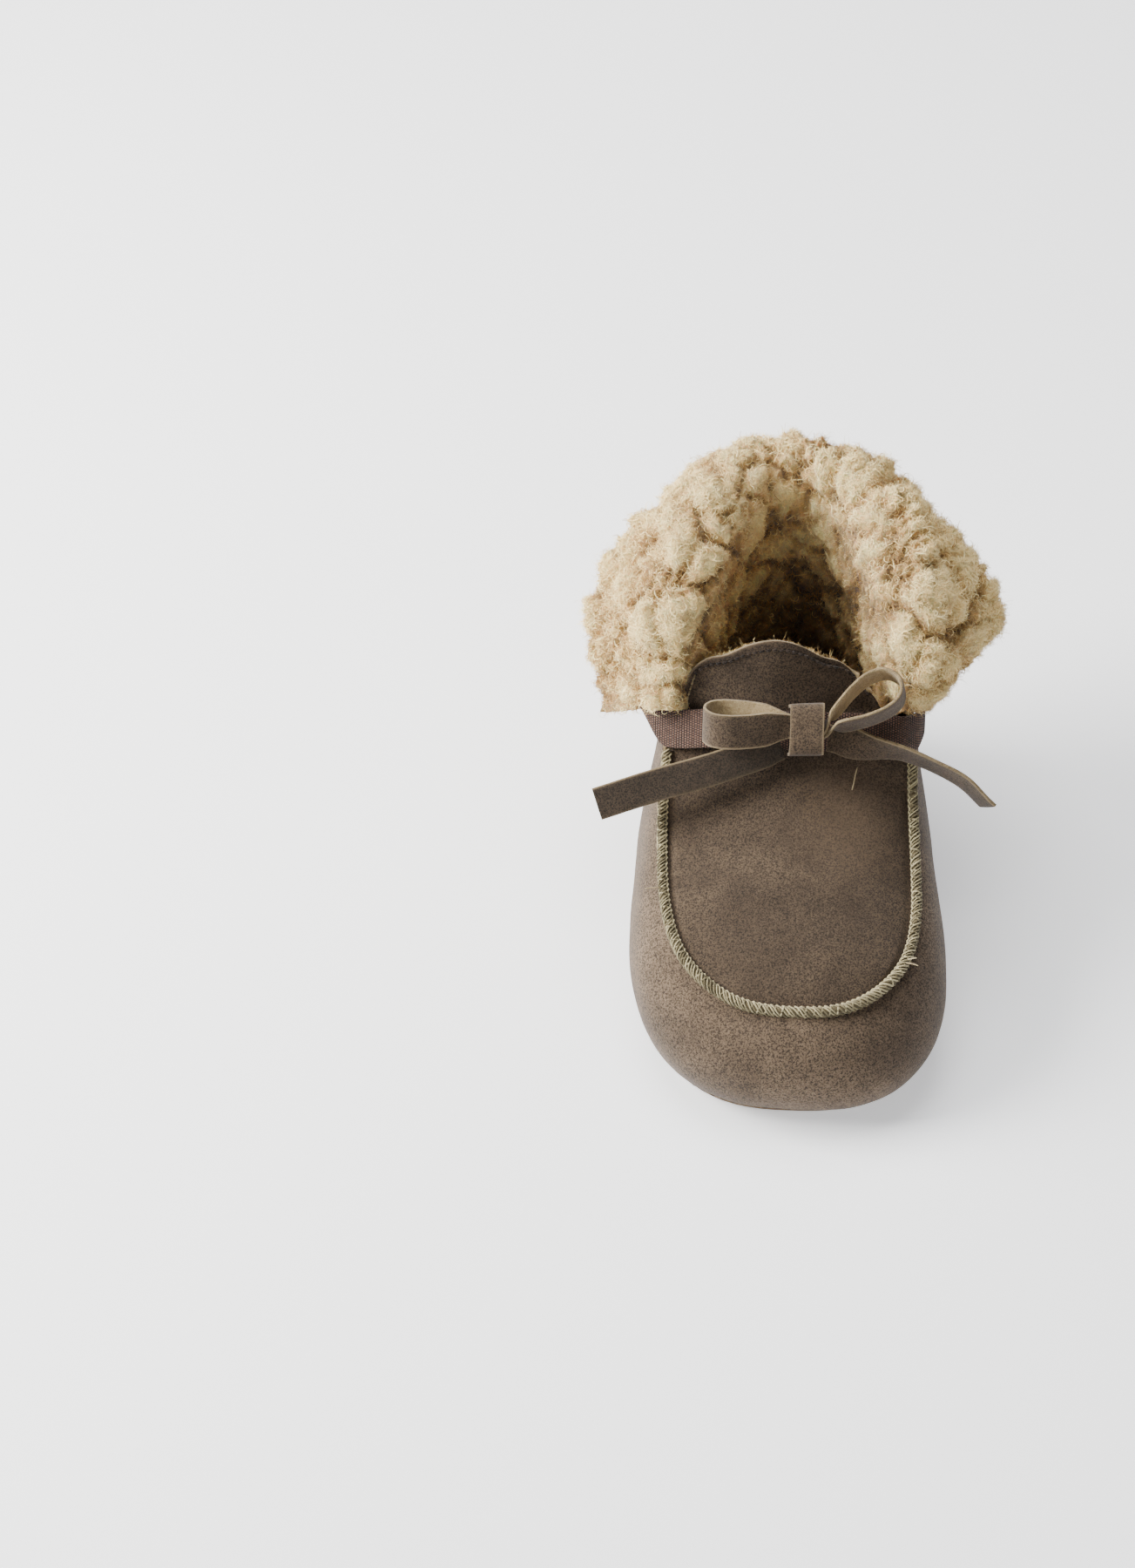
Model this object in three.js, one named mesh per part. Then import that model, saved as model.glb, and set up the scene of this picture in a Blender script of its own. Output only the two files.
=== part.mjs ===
// Baby bootie: a soft moccasin-style slipper with a folded sherpa cuff and a bow on an elastic strap.
// Millimetres, +Z up. The toe points to -Y and the heel to +Y, with +X on the right looking from the
// toe. The origin is the centre of the sole's ground face.

import * as THREE from 'three';
import { mergeVertices } from 'three/addons/utils/BufferGeometryUtils.js';

// Sole
const SOLE_LENGTH = 116;
const BALL_HALF_WIDTH = 34.6;
const HEEL_HALF_WIDTH = 23.5;
const TOE_POWER = 0.74;
const HEEL_POWER = 0.85;
const TOE_SWING = 2.2;
const OUTSOLE_THICKNESS = 2;
const FOAM_THICKNESS = 3;
const INSOLE_THICKNESS = 4;

// Materials laid up into the walls
const LEATHER = 1.3;
const GAP = 0.35;
const LINING_GAP = 0.65;
const LINING_PILE = 5;
const TONGUE_PILE = 3.2;
const CUFF_PILE = 6.4;

// Apron (the plug over the toes) and its overlocked seam
const APRON_FRONT = 6;
const APRON_BACK = 93;
const SEAM_RADIUS = 1.25;
const SEAM_LIFT = 1.65;

// Tongue
const TONGUE_LENGTH = 19;
const TONGUE_SWAY = 4;
const TONGUE_SLOPE = 66;

// Cuff
const CUFF_START_RIGHT = 98.5;
const CUFF_START_LEFT = 98;
const FOLD_RADIUS = 2;
const CUFF_DROP = 27;

// Strap and bow, in a plane tipped back by 45 degrees across the instep
const STRAP_WIDTH = 8;
const STRAP_THICKNESS = 1;
const RIBBON_WIDTH = 7.4;
const RIBBON_THICKNESS = 1;
const KNOT_X = 3;
const KNOT_WIDTH = 7.3;
const KNOT_HEIGHT = 11.2;

const leatherLook = { color: 0x75675a, roughness: 0.92, metalness: 0 };
const ribbonLook = { color: 0x7d6f63, roughness: 0.95, metalness: 0 };
const fleeceLook = { color: 0xd8c3a0, roughness: 1, metalness: 0 };
const soleLook = { color: 0xa89b84, roughness: 0.9, metalness: 0 };
const foamLook = { color: 0xd9d4c8, roughness: 0.9, metalness: 0 };
const overlockLook = { color: 0x8b8266, roughness: 0.95, metalness: 0 };
const threadLook = { color: 0x4e453c, roughness: 0.8, metalness: 0 };
const elasticLook = { color: 0x7d6258, roughness: 0.9, metalness: 0 };

const radians = THREE.MathUtils.degToRad;
const point = (x, y, z) => new THREE.Vector3(x, y, z);

const bootie = new THREE.Group();

function addPiece(name, geometry, look) {
  const mesh = new THREE.Mesh(geometry, new THREE.MeshStandardMaterial(look));
  mesh.name = name;
  bootie.add(mesh);
}

// ---------------------------------------------------------------- shape helpers

// A smooth value keyed by the angle round the bootie, nearly level at both ends of its range.
function keyed(angles, values) {
  const curve = new THREE.CubicInterpolant(angles, values, 1);
  curve.settings = {
    endingStart: THREE.ZeroSlopeEnding,
    endingEnd: THREE.ZeroSlopeEnding,
  };
  return (angle) => curve.evaluate(angle)[0];
}

// Evenly spaced values from start to end, both included.
function spread(start, end, count) {
  return Array.from({ length: count + 1 }, (_, i) => start + (end - start) * (i / count));
}

// Turns the geometry's faces outwards.
function facingOut(geometry) {
  const p = geometry.attributes.position;
  const index = geometry.index.array;
  const [a, b, c] = [point(), point(), point()];
  let volume = 0;
  for (let i = 0; i < index.length; i += 3) {
    a.fromBufferAttribute(p, index[i]);
    b.fromBufferAttribute(p, index[i + 1]);
    c.fromBufferAttribute(p, index[i + 2]);
    volume += a.dot(b.cross(c));
  }
  if (volume < 0) {
    for (let i = 0; i < index.length; i += 3) {
      [index[i + 1], index[i + 2]] = [index[i + 2], index[i + 1]];
    }
  }
  geometry.computeVertexNormals();
  return geometry;
}

// Joins two matching grids of points, a front skin and a back skin, into one closed sheet of
// material. With loop set the rows run round and meet themselves.
function sheetSolid(front, back, loop = false) {
  const rows = front.length;
  const columns = front[0].length;
  const vertices = [...front, ...back].flat();
  const at = (skin, i, j) => (skin * rows + (i % rows)) * columns + j;
  const index = [];
  const quad = (a, b, c, d) => index.push(a, b, c, a, c, d);
  const last = columns - 1;
  for (let i = 0; i < (loop ? rows : rows - 1); i += 1) {
    for (let j = 0; j < last; j += 1) {
      quad(at(0, i, j), at(0, i + 1, j), at(0, i + 1, j + 1), at(0, i, j + 1));
      quad(at(1, i, j), at(1, i, j + 1), at(1, i + 1, j + 1), at(1, i + 1, j));
    }
    quad(at(0, i, 0), at(1, i, 0), at(1, i + 1, 0), at(0, i + 1, 0));
    quad(at(0, i, last), at(0, i + 1, last), at(1, i + 1, last), at(1, i, last));
  }
  for (let j = 0; j < last && !loop; j += 1) {
    const end = rows - 1;
    quad(at(0, 0, j), at(0, 0, j + 1), at(1, 0, j + 1), at(1, 0, j));
    quad(at(0, end, j), at(1, end, j), at(1, end, j + 1), at(0, end, j + 1));
  }
  const geometry = new THREE.BufferGeometry().setFromPoints(vertices);
  geometry.setIndex(index);
  return facingOut(geometry);
}

// The unit normal of surface(u, v), on the side of du x dv.
function normalOf(surface, u, v) {
  const step = 1e-3;
  const alongU = surface(u + step, v).sub(surface(u - step, v));
  const alongV = surface(u, v + step).sub(surface(u, v - step));
  return alongU.cross(alongV).normalize();
}

// A layer of material over surface(u, v), lying between two offsets along its normal. The v values
// and both offsets may change with u.
function layer(surface, { us, vs, from, to, loop = false }) {
  const skin = (offset) => us.map((u) => vs(u).map((v) => (
    surface(u, v).addScaledVector(normalOf(surface, u, v), offset(u, v))
  )));
  return sheetSolid(skin(from), skin(to), loop);
}

// A round thread or piping along a list of points.
function thread(points, radius, steps, closed = false, sides = 5) {
  const path = new THREE.CatmullRomCurve3(points, closed);
  if (closed) {
    const ring = new THREE.TubeGeometry(path, steps, radius, sides, true);
    ring.deleteAttribute('normal');
    ring.deleteAttribute('uv');
    return mergeVertices(ring, 1e-4);
  }
  const corners = [];
  for (let i = 0; i < sides; i += 1) {
    const angle = (2 * Math.PI * i) / sides;
    corners.push(new THREE.Vector2(radius * Math.cos(angle), radius * Math.sin(angle)));
  }
  const section = new THREE.Shape(corners);
  return new THREE.ExtrudeGeometry(section, { steps, extrudePath: path, bevelEnabled: false });
}

// ---------------------------------------------------------------- body of the bootie

// The toe swings a little to +X, as the foot does.
const swing = (y) => TOE_SWING * THREE.MathUtils.smoothstep(-y, 0, SOLE_LENGTH / 2);

// The sole's outline grown outwards: angle 0 is the tip of the toe, 90 the +X side, 180 the heel.
function outline(angle, growX = 0, growY = growX) {
  const c = Math.cos(radians(angle));
  const s = Math.sin(radians(angle));
  const power = c > 0 ? TOE_POWER : HEEL_POWER;
  const soft = (value) => Math.sign(value) * Math.abs(value) ** power;
  const toeShare = THREE.MathUtils.smoothstep((1 + c) / 2, 0, 1);
  const half = THREE.MathUtils.lerp(HEEL_HALF_WIDTH, BALL_HALF_WIDTH, toeShare) + growX;
  const y = -(SOLE_LENGTH / 2 + growY) * soft(c);
  return new THREE.Vector2(half * soft(s) + swing(y), y);
}

function outlineAt(angle, growX, growY, z) {
  const flat = outline(angle, growX, growY);
  return point(flat.x, flat.y, z);
}

// How far round the angle is from the toe, 0 to 180, the same on both sides.
function fromToe(angle) {
  const turned = Math.abs(angle) % 360;
  return turned > 180 ? 360 - turned : turned;
}

const topAngles = [0, 20, 40, 60, 75, 90, 105, 120, 150, 180];
const topHalf = keyed(topAngles, [30.3, 30.6, 30.9, 28.7, 26.8, 25.4, 24.7, 23, 21.6, 21.5]);
const topY = keyed(topAngles, [-51, -48.8, -41, -28.6, -15.5, 0, 16.5, 29, 47.4, 53]);
const topZ = keyed(topAngles, [25, 25.4, 27, 29.5, 33.5, 43, 61, 70.5, 76, 77]);

// The upper edge of the side wrap: the apron's seam in front, the fold of the cuff behind.
function topEdge(angle) {
  const a = fromToe(angle);
  const s = Math.sin(radians(angle));
  const x = topHalf(a) * Math.sign(s) * Math.abs(s) ** HEEL_POWER;
  return point(x + swing(topY(a)), topY(a), topZ(a));
}

const lowGrow = keyed([0, 90, 180], [5.5, 5, 4.5]);
const lowHeight = keyed([0, 90, 180], [8, 9, 10]);
const highGrowX = keyed([0, 60, 93, 130, 180], [4, 4.2, 2.6, 0.3, -1]);
const highGrowY = keyed([0, 60, 93, 130, 180], [3, 3, 2, -2, -5]);
const highHeight = keyed([0, 60, 93, 130, 180], [20, 22, 30, 42, 45]);

// The outer face of the side wrap, v running from the sole seam to the top edge.
function wrapFace(angle, v) {
  const a = fromToe(angle);
  const rise = new THREE.CubicBezierCurve3(
    outlineAt(angle, -1, -1, OUTSOLE_THICKNESS + GAP),
    outlineAt(angle, lowGrow(a), lowGrow(a), lowHeight(a)),
    outlineAt(angle, highGrowX(a), highGrowY(a), highHeight(a)),
    topEdge(angle),
  );
  return rise.getPoint(v);
}

// The v at which the side wrap reaches a height.
function wrapLevel(angle, z) {
  let low = 0;
  let high = 1;
  for (let i = 0; i < 24; i += 1) {
    const middle = (low + high) / 2;
    if (wrapFace(angle, middle).z < z) {
      low = middle;
    } else {
      high = middle;
    }
  }
  return low;
}

function solePlate(grow, bottom, thickness) {
  const edge = spread(0, 360, 64).slice(0, -1).map((angle) => outline(angle, grow));
  const plate = new THREE.ExtrudeGeometry(new THREE.Shape(edge), {
    depth: thickness,
    bevelEnabled: false,
  });
  plate.translate(0, 0, bottom);
  return plate;
}

const foamBottom = OUTSOLE_THICKNESS + GAP;
const insoleBottom = foamBottom + FOAM_THICKNESS + GAP;
const insoleTop = insoleBottom + INSOLE_THICKNESS;

addPiece('outsole', solePlate(0, 0, OUTSOLE_THICKNESS), soleLook);
addPiece('midsole_foam', solePlate(-3.2, foamBottom, FOAM_THICKNESS), foamLook);
addPiece('insole_fleece', solePlate(-1.8, insoleBottom, INSOLE_THICKNESS), fleeceLook);

const roundAngles = spread(0, 360, 72).slice(0, -1);
const flatOffset = (value) => () => value;

// The wrap stops short of its top edge, more so beside the apron, where it stands upright.
const wrapTop = keyed([0, 55, 82, 94, 102, 180], [0.98, 0.98, 0.95, 0.95, 0.98, 0.985]);

addPiece('side_wrap', layer(wrapFace, {
  us: roundAngles,
  vs: (angle) => spread(0, wrapTop(fromToe(angle)), 7),
  from: flatOffset(0),
  to: flatOffset(-LEATHER),
  loop: true,
}), leatherLook);

// The lining stops below the apron's own lining in front and just under the fold behind.
const liningTop = keyed([0, 88, 104, 180], [0.78, 0.78, 0.92, 0.95]);
const liningPile = keyed([0, 70, 110, 180], [3.4, 3.4, LINING_PILE, LINING_PILE]);
const liningBack = -(LEATHER + LINING_GAP);

addPiece('side_lining', layer(wrapFace, {
  us: spread(0, 360, 48).slice(0, -1),
  vs: (angle) => spread(wrapLevel(angle, insoleTop + 1.2), liningTop(fromToe(angle)), 5),
  from: flatOffset(liningBack),
  to: (angle) => liningBack - liningPile(fromToe(angle)),
  loop: true,
}), fleeceLook);

// The seam's stitches lie in the groove between the outsole and the side wrap.
const soleStitches = spread(0, 360, 60).slice(0, -1)
  .map((angle) => outlineAt(angle, 0.3, 0.3, OUTSOLE_THICKNESS + 0.75));
addPiece('sole_stitching', thread(soleStitches, 0.35, 96, true), threadLook);

// ---------------------------------------------------------------- apron

const apronCrown = keyed([0, 30, 45, 60, 90], [0, 2.5, 4, 5, 6]);

// The outer face of the apron: s runs across from -1 to 1, angle from the toe back to the tongue.
function apronFace(s, angle) {
  const edge = topEdge(angle);
  const lean = swing(edge.y);
  return point(s * (edge.x - lean) + lean, edge.y, edge.z + apronCrown(angle) * (1 - s * s));
}

addPiece('apron', layer(apronFace, {
  us: spread(-0.985, 0.985, 12),
  vs: () => spread(APRON_FRONT, APRON_BACK - 0.6, 14),
  from: flatOffset(0),
  to: flatOffset(-LEATHER),
}), leatherLook);

addPiece('apron_lining', layer(apronFace, {
  us: spread(-0.8, 0.8, 8),
  vs: () => spread(34, APRON_BACK - 2, 9),
  from: flatOffset(liningBack),
  to: flatOffset(liningBack - 3.2),
}), fleeceLook);

// The overlocked seam stands proud of the line where the apron meets the side wrap.
function seamPoint(angle) {
  const wrapNormal = normalOf(wrapFace, angle, 1);
  const apronNormal = normalOf(apronFace, Math.sign(angle), Math.max(Math.abs(angle), 8));
  const lift = wrapNormal.add(apronNormal).normalize().multiplyScalar(SEAM_LIFT);
  return topEdge(angle).add(lift);
}
const seamLine = spread(-92, 92, 40).map(seamPoint);
addPiece('apron_seam', thread(seamLine, SEAM_RADIUS, 80, false, 6), overlockLook);

// The back seam closes the side wrap up the middle of the heel.
const heelSeam = spread(0.06, 0.55, 8)
  .map((v) => wrapFace(180, v).addScaledVector(normalOf(wrapFace, 180, v), 0.75));
addPiece('heel_seam', thread(heelSeam, 0.4, 16), threadLook);

// ---------------------------------------------------------------- tongue

const tongueRise = point(0, Math.cos(radians(TONGUE_SLOPE)), Math.sin(radians(TONGUE_SLOPE)));
const tongueOut = point(0, -tongueRise.z, tongueRise.y);
const tongueFoot = apronFace(0, APRON_BACK);

// Half width of the tongue at a share of its length, and the ogee of its top edge.
const tongueHalf = keyed([0, 0.3, 0.65, 1], [22.4, 18.9, 17.4, 16.4]);
const ogee = keyed([0, 0.3, 0.55, 0.8, 0.93, 1], [0, -1.2, -3.6, -5.2, -7.4, -9.6]);

// The outer face of the tongue: s runs across, share from the hinge line up to the top edge.
function tongueFace(s, share) {
  const reach = share * (TONGUE_LENGTH + ogee(Math.abs(s)));
  const crown = 6 - 3.5 * share;
  return tongueFoot.clone()
    .add(point(s * tongueHalf(share) - TONGUE_SWAY * share * share, 0, 0))
    .addScaledVector(tongueRise, reach)
    .addScaledVector(tongueOut, -crown * s * s);
}

addPiece('tongue', layer(tongueFace, {
  us: spread(-1, 1, 14),
  vs: () => spread(0.02, 1, 8),
  from: flatOffset(0),
  to: flatOffset(-LEATHER),
}), leatherLook);

addPiece('tongue_lining', layer(tongueFace, {
  us: spread(-0.86, 0.86, 10),
  vs: () => spread(0.14, 0.94, 7),
  from: flatOffset(liningBack),
  to: flatOffset(liningBack - TONGUE_PILE),
}), fleeceLook);

// One row of stitches follows the tongue's edge.
const stitchInset = [
  ...spread(0.3, 0.84, 4).map((share) => [-0.9, share]),
  ...spread(-0.82, 0.82, 14).map((s) => [s, 0.9]),
  ...spread(0.84, 0.3, 4).map((share) => [0.9, share]),
];
const tongueStitches = stitchInset
  .map(([s, share]) => tongueFace(s, share).addScaledVector(normalOf(tongueFace, s, share), 0.85));
addPiece('tongue_stitching', thread(tongueStitches, 0.25, 60), threadLook);

// ---------------------------------------------------------------- cuff

// The cuff hangs from the fold. Its fall leans outwards; at the front edges it sweeps back, and the
// right-hand wing stands out higher than the left.
const fallOut = keyed([97, 120, 145, 180], [0.46, 0.55, 0.52, 0.26]);
const fallDownLeft = keyed([97, 115, 140, 180], [0.66, 0.8, 0.93, 0.95]);
const fallDownRight = keyed([97, 115, 140, 180], [0.12, 0.55, 0.9, 0.95]);
const fallBackLeft = keyed([97, 115, 140, 180], [0.54, 0.3, 0.05, 0]);
const fallBackRight = keyed([97, 115, 140, 180], [0.76, 0.36, 0.05, 0]);
const cuffDrop = keyed([97, 115, 145, 180], [25, 25, CUFF_DROP, CUFF_DROP]);

function fallDirection(angle) {
  const a = fromToe(angle);
  const right = angle < 180;
  const flat = outline(angle + 1).sub(outline(angle - 1));
  const outwards = point(flat.y, -flat.x, 0).normalize();
  const down = right ? fallDownRight(a) : fallDownLeft(a);
  const back = right ? fallBackRight(a) : fallBackLeft(a);
  return outwards.multiplyScalar(fallOut(a)).add(point(0, back, -down)).normalize();
}

// The middle of the cuff's leather backing: share 0 to 0.3 goes over the fold and the rest falls.
function cuffMiddle(angle, share) {
  const edge = topEdge(angle);
  const along = topEdge(angle + 0.5).sub(topEdge(angle - 0.5)).normalize();
  const wallNormal = normalOf(wrapFace, angle, 0.97);
  const up = wallNormal.clone().cross(along).normalize();
  const out = along.clone().cross(up).normalize();
  const fall = fallDirection(angle);
  const centre = edge.clone().addScaledVector(out, 0.9).addScaledVector(up, 0.8);
  const last = Math.atan2(fall.dot(out), -fall.dot(up));
  const turn = THREE.MathUtils.lerp(radians(168), last, Math.min(share / 0.3, 1));
  centre.addScaledVector(out, FOLD_RADIUS * Math.cos(turn));
  centre.addScaledVector(up, FOLD_RADIUS * Math.sin(turn));
  return centre.addScaledVector(fall, cuffDrop(fromToe(angle)) * Math.max(share - 0.3, 0) / 0.7);
}

const cuffAngles = spread(CUFF_START_RIGHT, 360 - CUFF_START_LEFT, 42);
const cuffShares = [...spread(0, 0.3, 4), ...spread(0.3, 1, 5).slice(1)];

addPiece('cuff_backing', layer(cuffMiddle, {
  us: cuffAngles,
  vs: () => cuffShares,
  from: flatOffset(LEATHER / 2),
  to: flatOffset(-LEATHER / 2),
}), leatherLook);

// The pile is thin where the cuff ends beside the tongue, and on its inner side.
const cuffPile = keyed([96, 110, 180], [2.8, CUFF_PILE, CUFF_PILE]);
const innerPile = keyed([96, 112, 135, 180], [0.35, 0.5, 0.75, 0.75]);
const cuffBack = LEATHER / 2 + LINING_GAP;

function pileOutside(angle, share) {
  const a = fromToe(angle);
  const thin = THREE.MathUtils.lerp(innerPile(a), 1, Math.min(share / 0.2, 1));
  return -cuffBack - cuffPile(a) * thin;
}

addPiece('cuff_fleece', layer(cuffMiddle, {
  us: cuffAngles,
  vs: () => cuffShares,
  from: flatOffset(-cuffBack),
  to: pileOutside,
}), fleeceLook);

// ---------------------------------------------------------------- strap and bow

// Points of the strap and bow: x across, out towards the toe, up along the instep.
const instepOut = point(0, -Math.SQRT1_2, Math.SQRT1_2);
const instepUp = point(0, Math.SQRT1_2, Math.SQRT1_2);
const onInstep = (x, out, up) => point(x, 0, 0)
  .addScaledVector(instepOut, out)
  .addScaledVector(instepUp, up);

// A flat band of even thickness along a path. across(share) is the direction of its width.
function band(path, { across, width, thickness, steps }) {
  const skin = (side) => spread(0, 1, steps).map((share) => {
    const sideways = across(share);
    const face = path.getTangent(share).cross(sideways).normalize();
    const middle = path.getPoint(share).addScaledVector(face, (side * thickness) / 2);
    const half = width(share) / 2;
    return [-half, half].map((step) => middle.clone().addScaledVector(sideways, step));
  });
  return sheetSolid(skin(1), skin(-1));
}

// The strap's ends turn down over the corners and are sewn to the wall under the cuff.
const STRAP_UP = 38.6;
const strapHalf = [
  [0, 36.9, 0], [9, 36.4, 0], [17, 34.9, 0], [23, 32.5, -0.3],
  [27, 29.4, 0.3], [29, 26, 2.2], [29.6, 22, 4],
];
const strapPoint = (side, [x, out, rise]) => onInstep(side * x, out, STRAP_UP + rise);
const strapPath = new THREE.CatmullRomCurve3([
  ...strapHalf.slice(1).reverse().map((place) => strapPoint(-1, place)),
  ...strapHalf.map((place) => strapPoint(1, place)),
]);
addPiece('elastic_strap', band(strapPath, {
  across: () => instepUp,
  width: () => STRAP_WIDTH,
  thickness: STRAP_THICKNESS,
  steps: 32,
}), elasticLook);

// Bar tacks hold the two ends of the strap to the wall.
for (const [name, side] of [['strap_tack_left', -1], ['strap_tack_right', 1]]) {
  const tack = [-3, 0, 3].map((up) => onInstep(side * 30.75, 23.2, STRAP_UP + 3.8 + up));
  addPiece(name, thread(tack, 0.3, 6), threadLook);
}

const BOW_UP = 38.8;
const BOW_OUT = 43.8;
// Half a loop seen from its edge: distance from the knot, and how far the ribbon stands apart.
const loopHalf = [[1.2, 0.72], [4.2, 0.8], [7.5, 2.1], [11, 3.5], [15, 4.1], [18, 3]];

// A loop of ribbon. start is its root in the knot and along its axis; twist turns the ribbon about
// that axis as it leaves the knot, which also gathers it to the given share of its width.
function loop({ start, along, twist, scale, gather }) {
  const edgeView = [
    ...loopHalf,
    [19.3, 0],
    ...loopHalf.slice().reverse().map(([reach, apart]) => [reach, -apart]),
  ];
  const apartWay = (reach) => {
    const turn = twist * THREE.MathUtils.smoothstep(reach, 0.5, 7);
    return instepOut.clone().applyAxisAngle(along, turn);
  };
  const path = new THREE.CatmullRomCurve3(edgeView.map(([reach, apart]) => (
    start.clone()
      .addScaledVector(along, reach * scale)
      .addScaledVector(apartWay(reach * scale), apart)
  )));
  const reachAt = (share) => path.getPoint(share).sub(start).dot(along);
  const opened = (share) => THREE.MathUtils.smoothstep(reachAt(share), 2, 9);
  return band(path, {
    across: (share) => apartWay(reachAt(share)).cross(along),
    width: (share) => RIBBON_WIDTH * THREE.MathUtils.lerp(gather, 1, opened(share)),
    thickness: RIBBON_THICKNESS,
    steps: 36,
  });
}

const rightTilt = radians(33);
addPiece('bow_loop_left', loop({
  start: onInstep(KNOT_X, BOW_OUT - 0.3, BOW_UP + 0.6),
  along: point(-1, 0, 0),
  twist: radians(-25),
  scale: 1.08,
  gather: 0.6,
}), ribbonLook);
addPiece('bow_loop_right', loop({
  start: onInstep(KNOT_X + 0.4, BOW_OUT - 0.3, BOW_UP - 1.7),
  along: point(Math.cos(rightTilt), 0, 0).addScaledVector(instepUp, Math.sin(rightTilt)),
  twist: radians(-68),
  scale: 1.06,
  gather: 0.42,
}), ribbonLook);

// A tail of ribbon: places are [x, out, up], and the last value turns the ribbon's upper edge out.
function tail(places, twist) {
  const path = new THREE.CatmullRomCurve3(places.map(([x, out, up]) => onInstep(x, out, up)));
  return band(path, {
    across: (share) => {
      const turn = twist * THREE.MathUtils.smoothstep(share, 0.05, 0.55);
      const upward = instepUp.clone().multiplyScalar(Math.cos(turn))
        .addScaledVector(instepOut, Math.sin(turn));
      const along = path.getTangent(share);
      return upward.addScaledVector(along, -upward.dot(along)).normalize();
    },
    width: (share) => RIBBON_WIDTH * (0.75 + 0.17 * THREE.MathUtils.smoothstep(share, 0, 0.25)),
    thickness: RIBBON_THICKNESS,
    steps: 20,
  });
}

addPiece('bow_tail_left', tail([
  [-1.9, 38.3, 35.3], [-6, 38.3, 33.8], [-16, 38.4, 30.1], [-28, 38.4, 26.3], [-39.5, 38.2, 22.2],
], 0), ribbonLook);
addPiece('bow_tail_right', tail([
  [7.7, 38.8, 37.3], [11, 38.8, 36.8], [16, 38.9, 35.6], [23.5, 38.6, 34.4], [30.5, 37.6, 31.8],
  [36, 36.2, 28.9], [41.2, 34, 24.4],
], radians(72)), ribbonLook);

// The knot wraps the front of the gathered ribbons, with its two edges turned back to the strap.
const knotHalf = KNOT_HEIGHT / 2 - LEATHER / 2;
const knotSection = [
  [38.6, -1], [42.5, -1], [45.2, -0.94], [46.2, -0.64], [46.4, 0],
  [46.2, 0.64], [45.2, 0.94], [42.5, 1], [38.6, 1],
];
const knotPath = new THREE.CatmullRomCurve3(
  knotSection.map(([out, share]) => onInstep(KNOT_X, out, BOW_UP + knotHalf * share)),
);
addPiece('bow_knot', band(knotPath, {
  across: () => point(1, 0, 0),
  width: () => KNOT_WIDTH,
  thickness: 1.1,
  steps: 20,
}), ribbonLook);

// One stitch behind the knot sews the bow to the strap.
const bowStitch = [-2.2, 0, 2.2].map((x) => onInstep(KNOT_X + x, 37.9, BOW_UP));
addPiece('bow_tack', thread(bowStitch, 0.15, 6), threadLook);

export default bootie;
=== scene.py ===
"""Baby bootie: nubuck leather, sherpa cuff, elastic strap and a ribbon bow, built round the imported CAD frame.

Shapes are worked out in millimetres with the CAD part's own dimensions and turned into metres in build().
"""
import itertools
import math

import bpy
import numpy as np
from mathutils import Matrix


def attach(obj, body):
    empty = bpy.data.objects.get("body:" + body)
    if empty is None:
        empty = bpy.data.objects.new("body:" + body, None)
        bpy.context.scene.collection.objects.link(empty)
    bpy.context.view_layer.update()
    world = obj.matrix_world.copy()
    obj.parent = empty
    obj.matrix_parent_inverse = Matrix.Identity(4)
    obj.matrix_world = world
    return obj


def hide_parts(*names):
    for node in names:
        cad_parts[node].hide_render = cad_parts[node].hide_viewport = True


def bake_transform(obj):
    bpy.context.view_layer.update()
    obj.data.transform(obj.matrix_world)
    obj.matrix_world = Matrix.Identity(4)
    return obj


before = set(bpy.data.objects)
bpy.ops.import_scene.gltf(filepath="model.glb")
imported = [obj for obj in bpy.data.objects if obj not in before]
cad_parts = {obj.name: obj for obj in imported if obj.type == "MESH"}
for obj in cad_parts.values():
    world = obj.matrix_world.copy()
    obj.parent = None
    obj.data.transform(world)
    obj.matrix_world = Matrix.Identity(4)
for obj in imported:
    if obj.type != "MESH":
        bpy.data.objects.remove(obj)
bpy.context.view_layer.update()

# --- camera, floor and light

camera = bpy.data.objects.new("camera", bpy.data.cameras.new("camera"))
camera.location = (-0.02282, -0.53183, 0.56933)
camera.rotation_euler = (math.radians(45), 0, math.radians(2.5))
camera.data.lens = 82.5
camera.data.sensor_width = 36
camera.data.clip_start = 0.01
bpy.context.scene.collection.objects.link(camera)
bpy.context.scene.camera = camera


def light(name, place, target, size, power, colour=(1, 1, 1)):
    """A soft square light that faces target."""
    data = bpy.data.lights.new(name, "AREA")
    data.shape = "SQUARE"
    data.size = size
    data.energy = power
    data.color = colour
    made = bpy.data.objects.new(name, data)
    made.location = place
    aim = np.array(target, float) - np.array(place, float)
    flat = math.hypot(aim[0], aim[1])
    made.rotation_euler = (math.atan2(flat, -aim[2]), 0, math.atan2(aim[1], aim[0]) - math.pi / 2)
    bpy.context.scene.collection.objects.link(made)


light("key", (-0.66, 0.0, 0.44), (0, 0, 0.03), 0.42, 18.5, (1, 0.985, 0.95))
light("top", (-0.12, 0.3, 0.85), (0, 0, 0.03), 0.6, 8.5)
light("front", (-0.1, -0.9, 0.45), (0, 0, 0.03), 0.7, 1.2)

world = bpy.data.worlds.new("studio")
world.use_nodes = True
world.node_tree.nodes["Background"].inputs["Color"].default_value = (0.95, 0.96, 1, 1)
world.node_tree.nodes["Background"].inputs["Strength"].default_value = 0.19
bpy.context.scene.world = world

# --- dimensions, as in the CAD part

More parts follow.
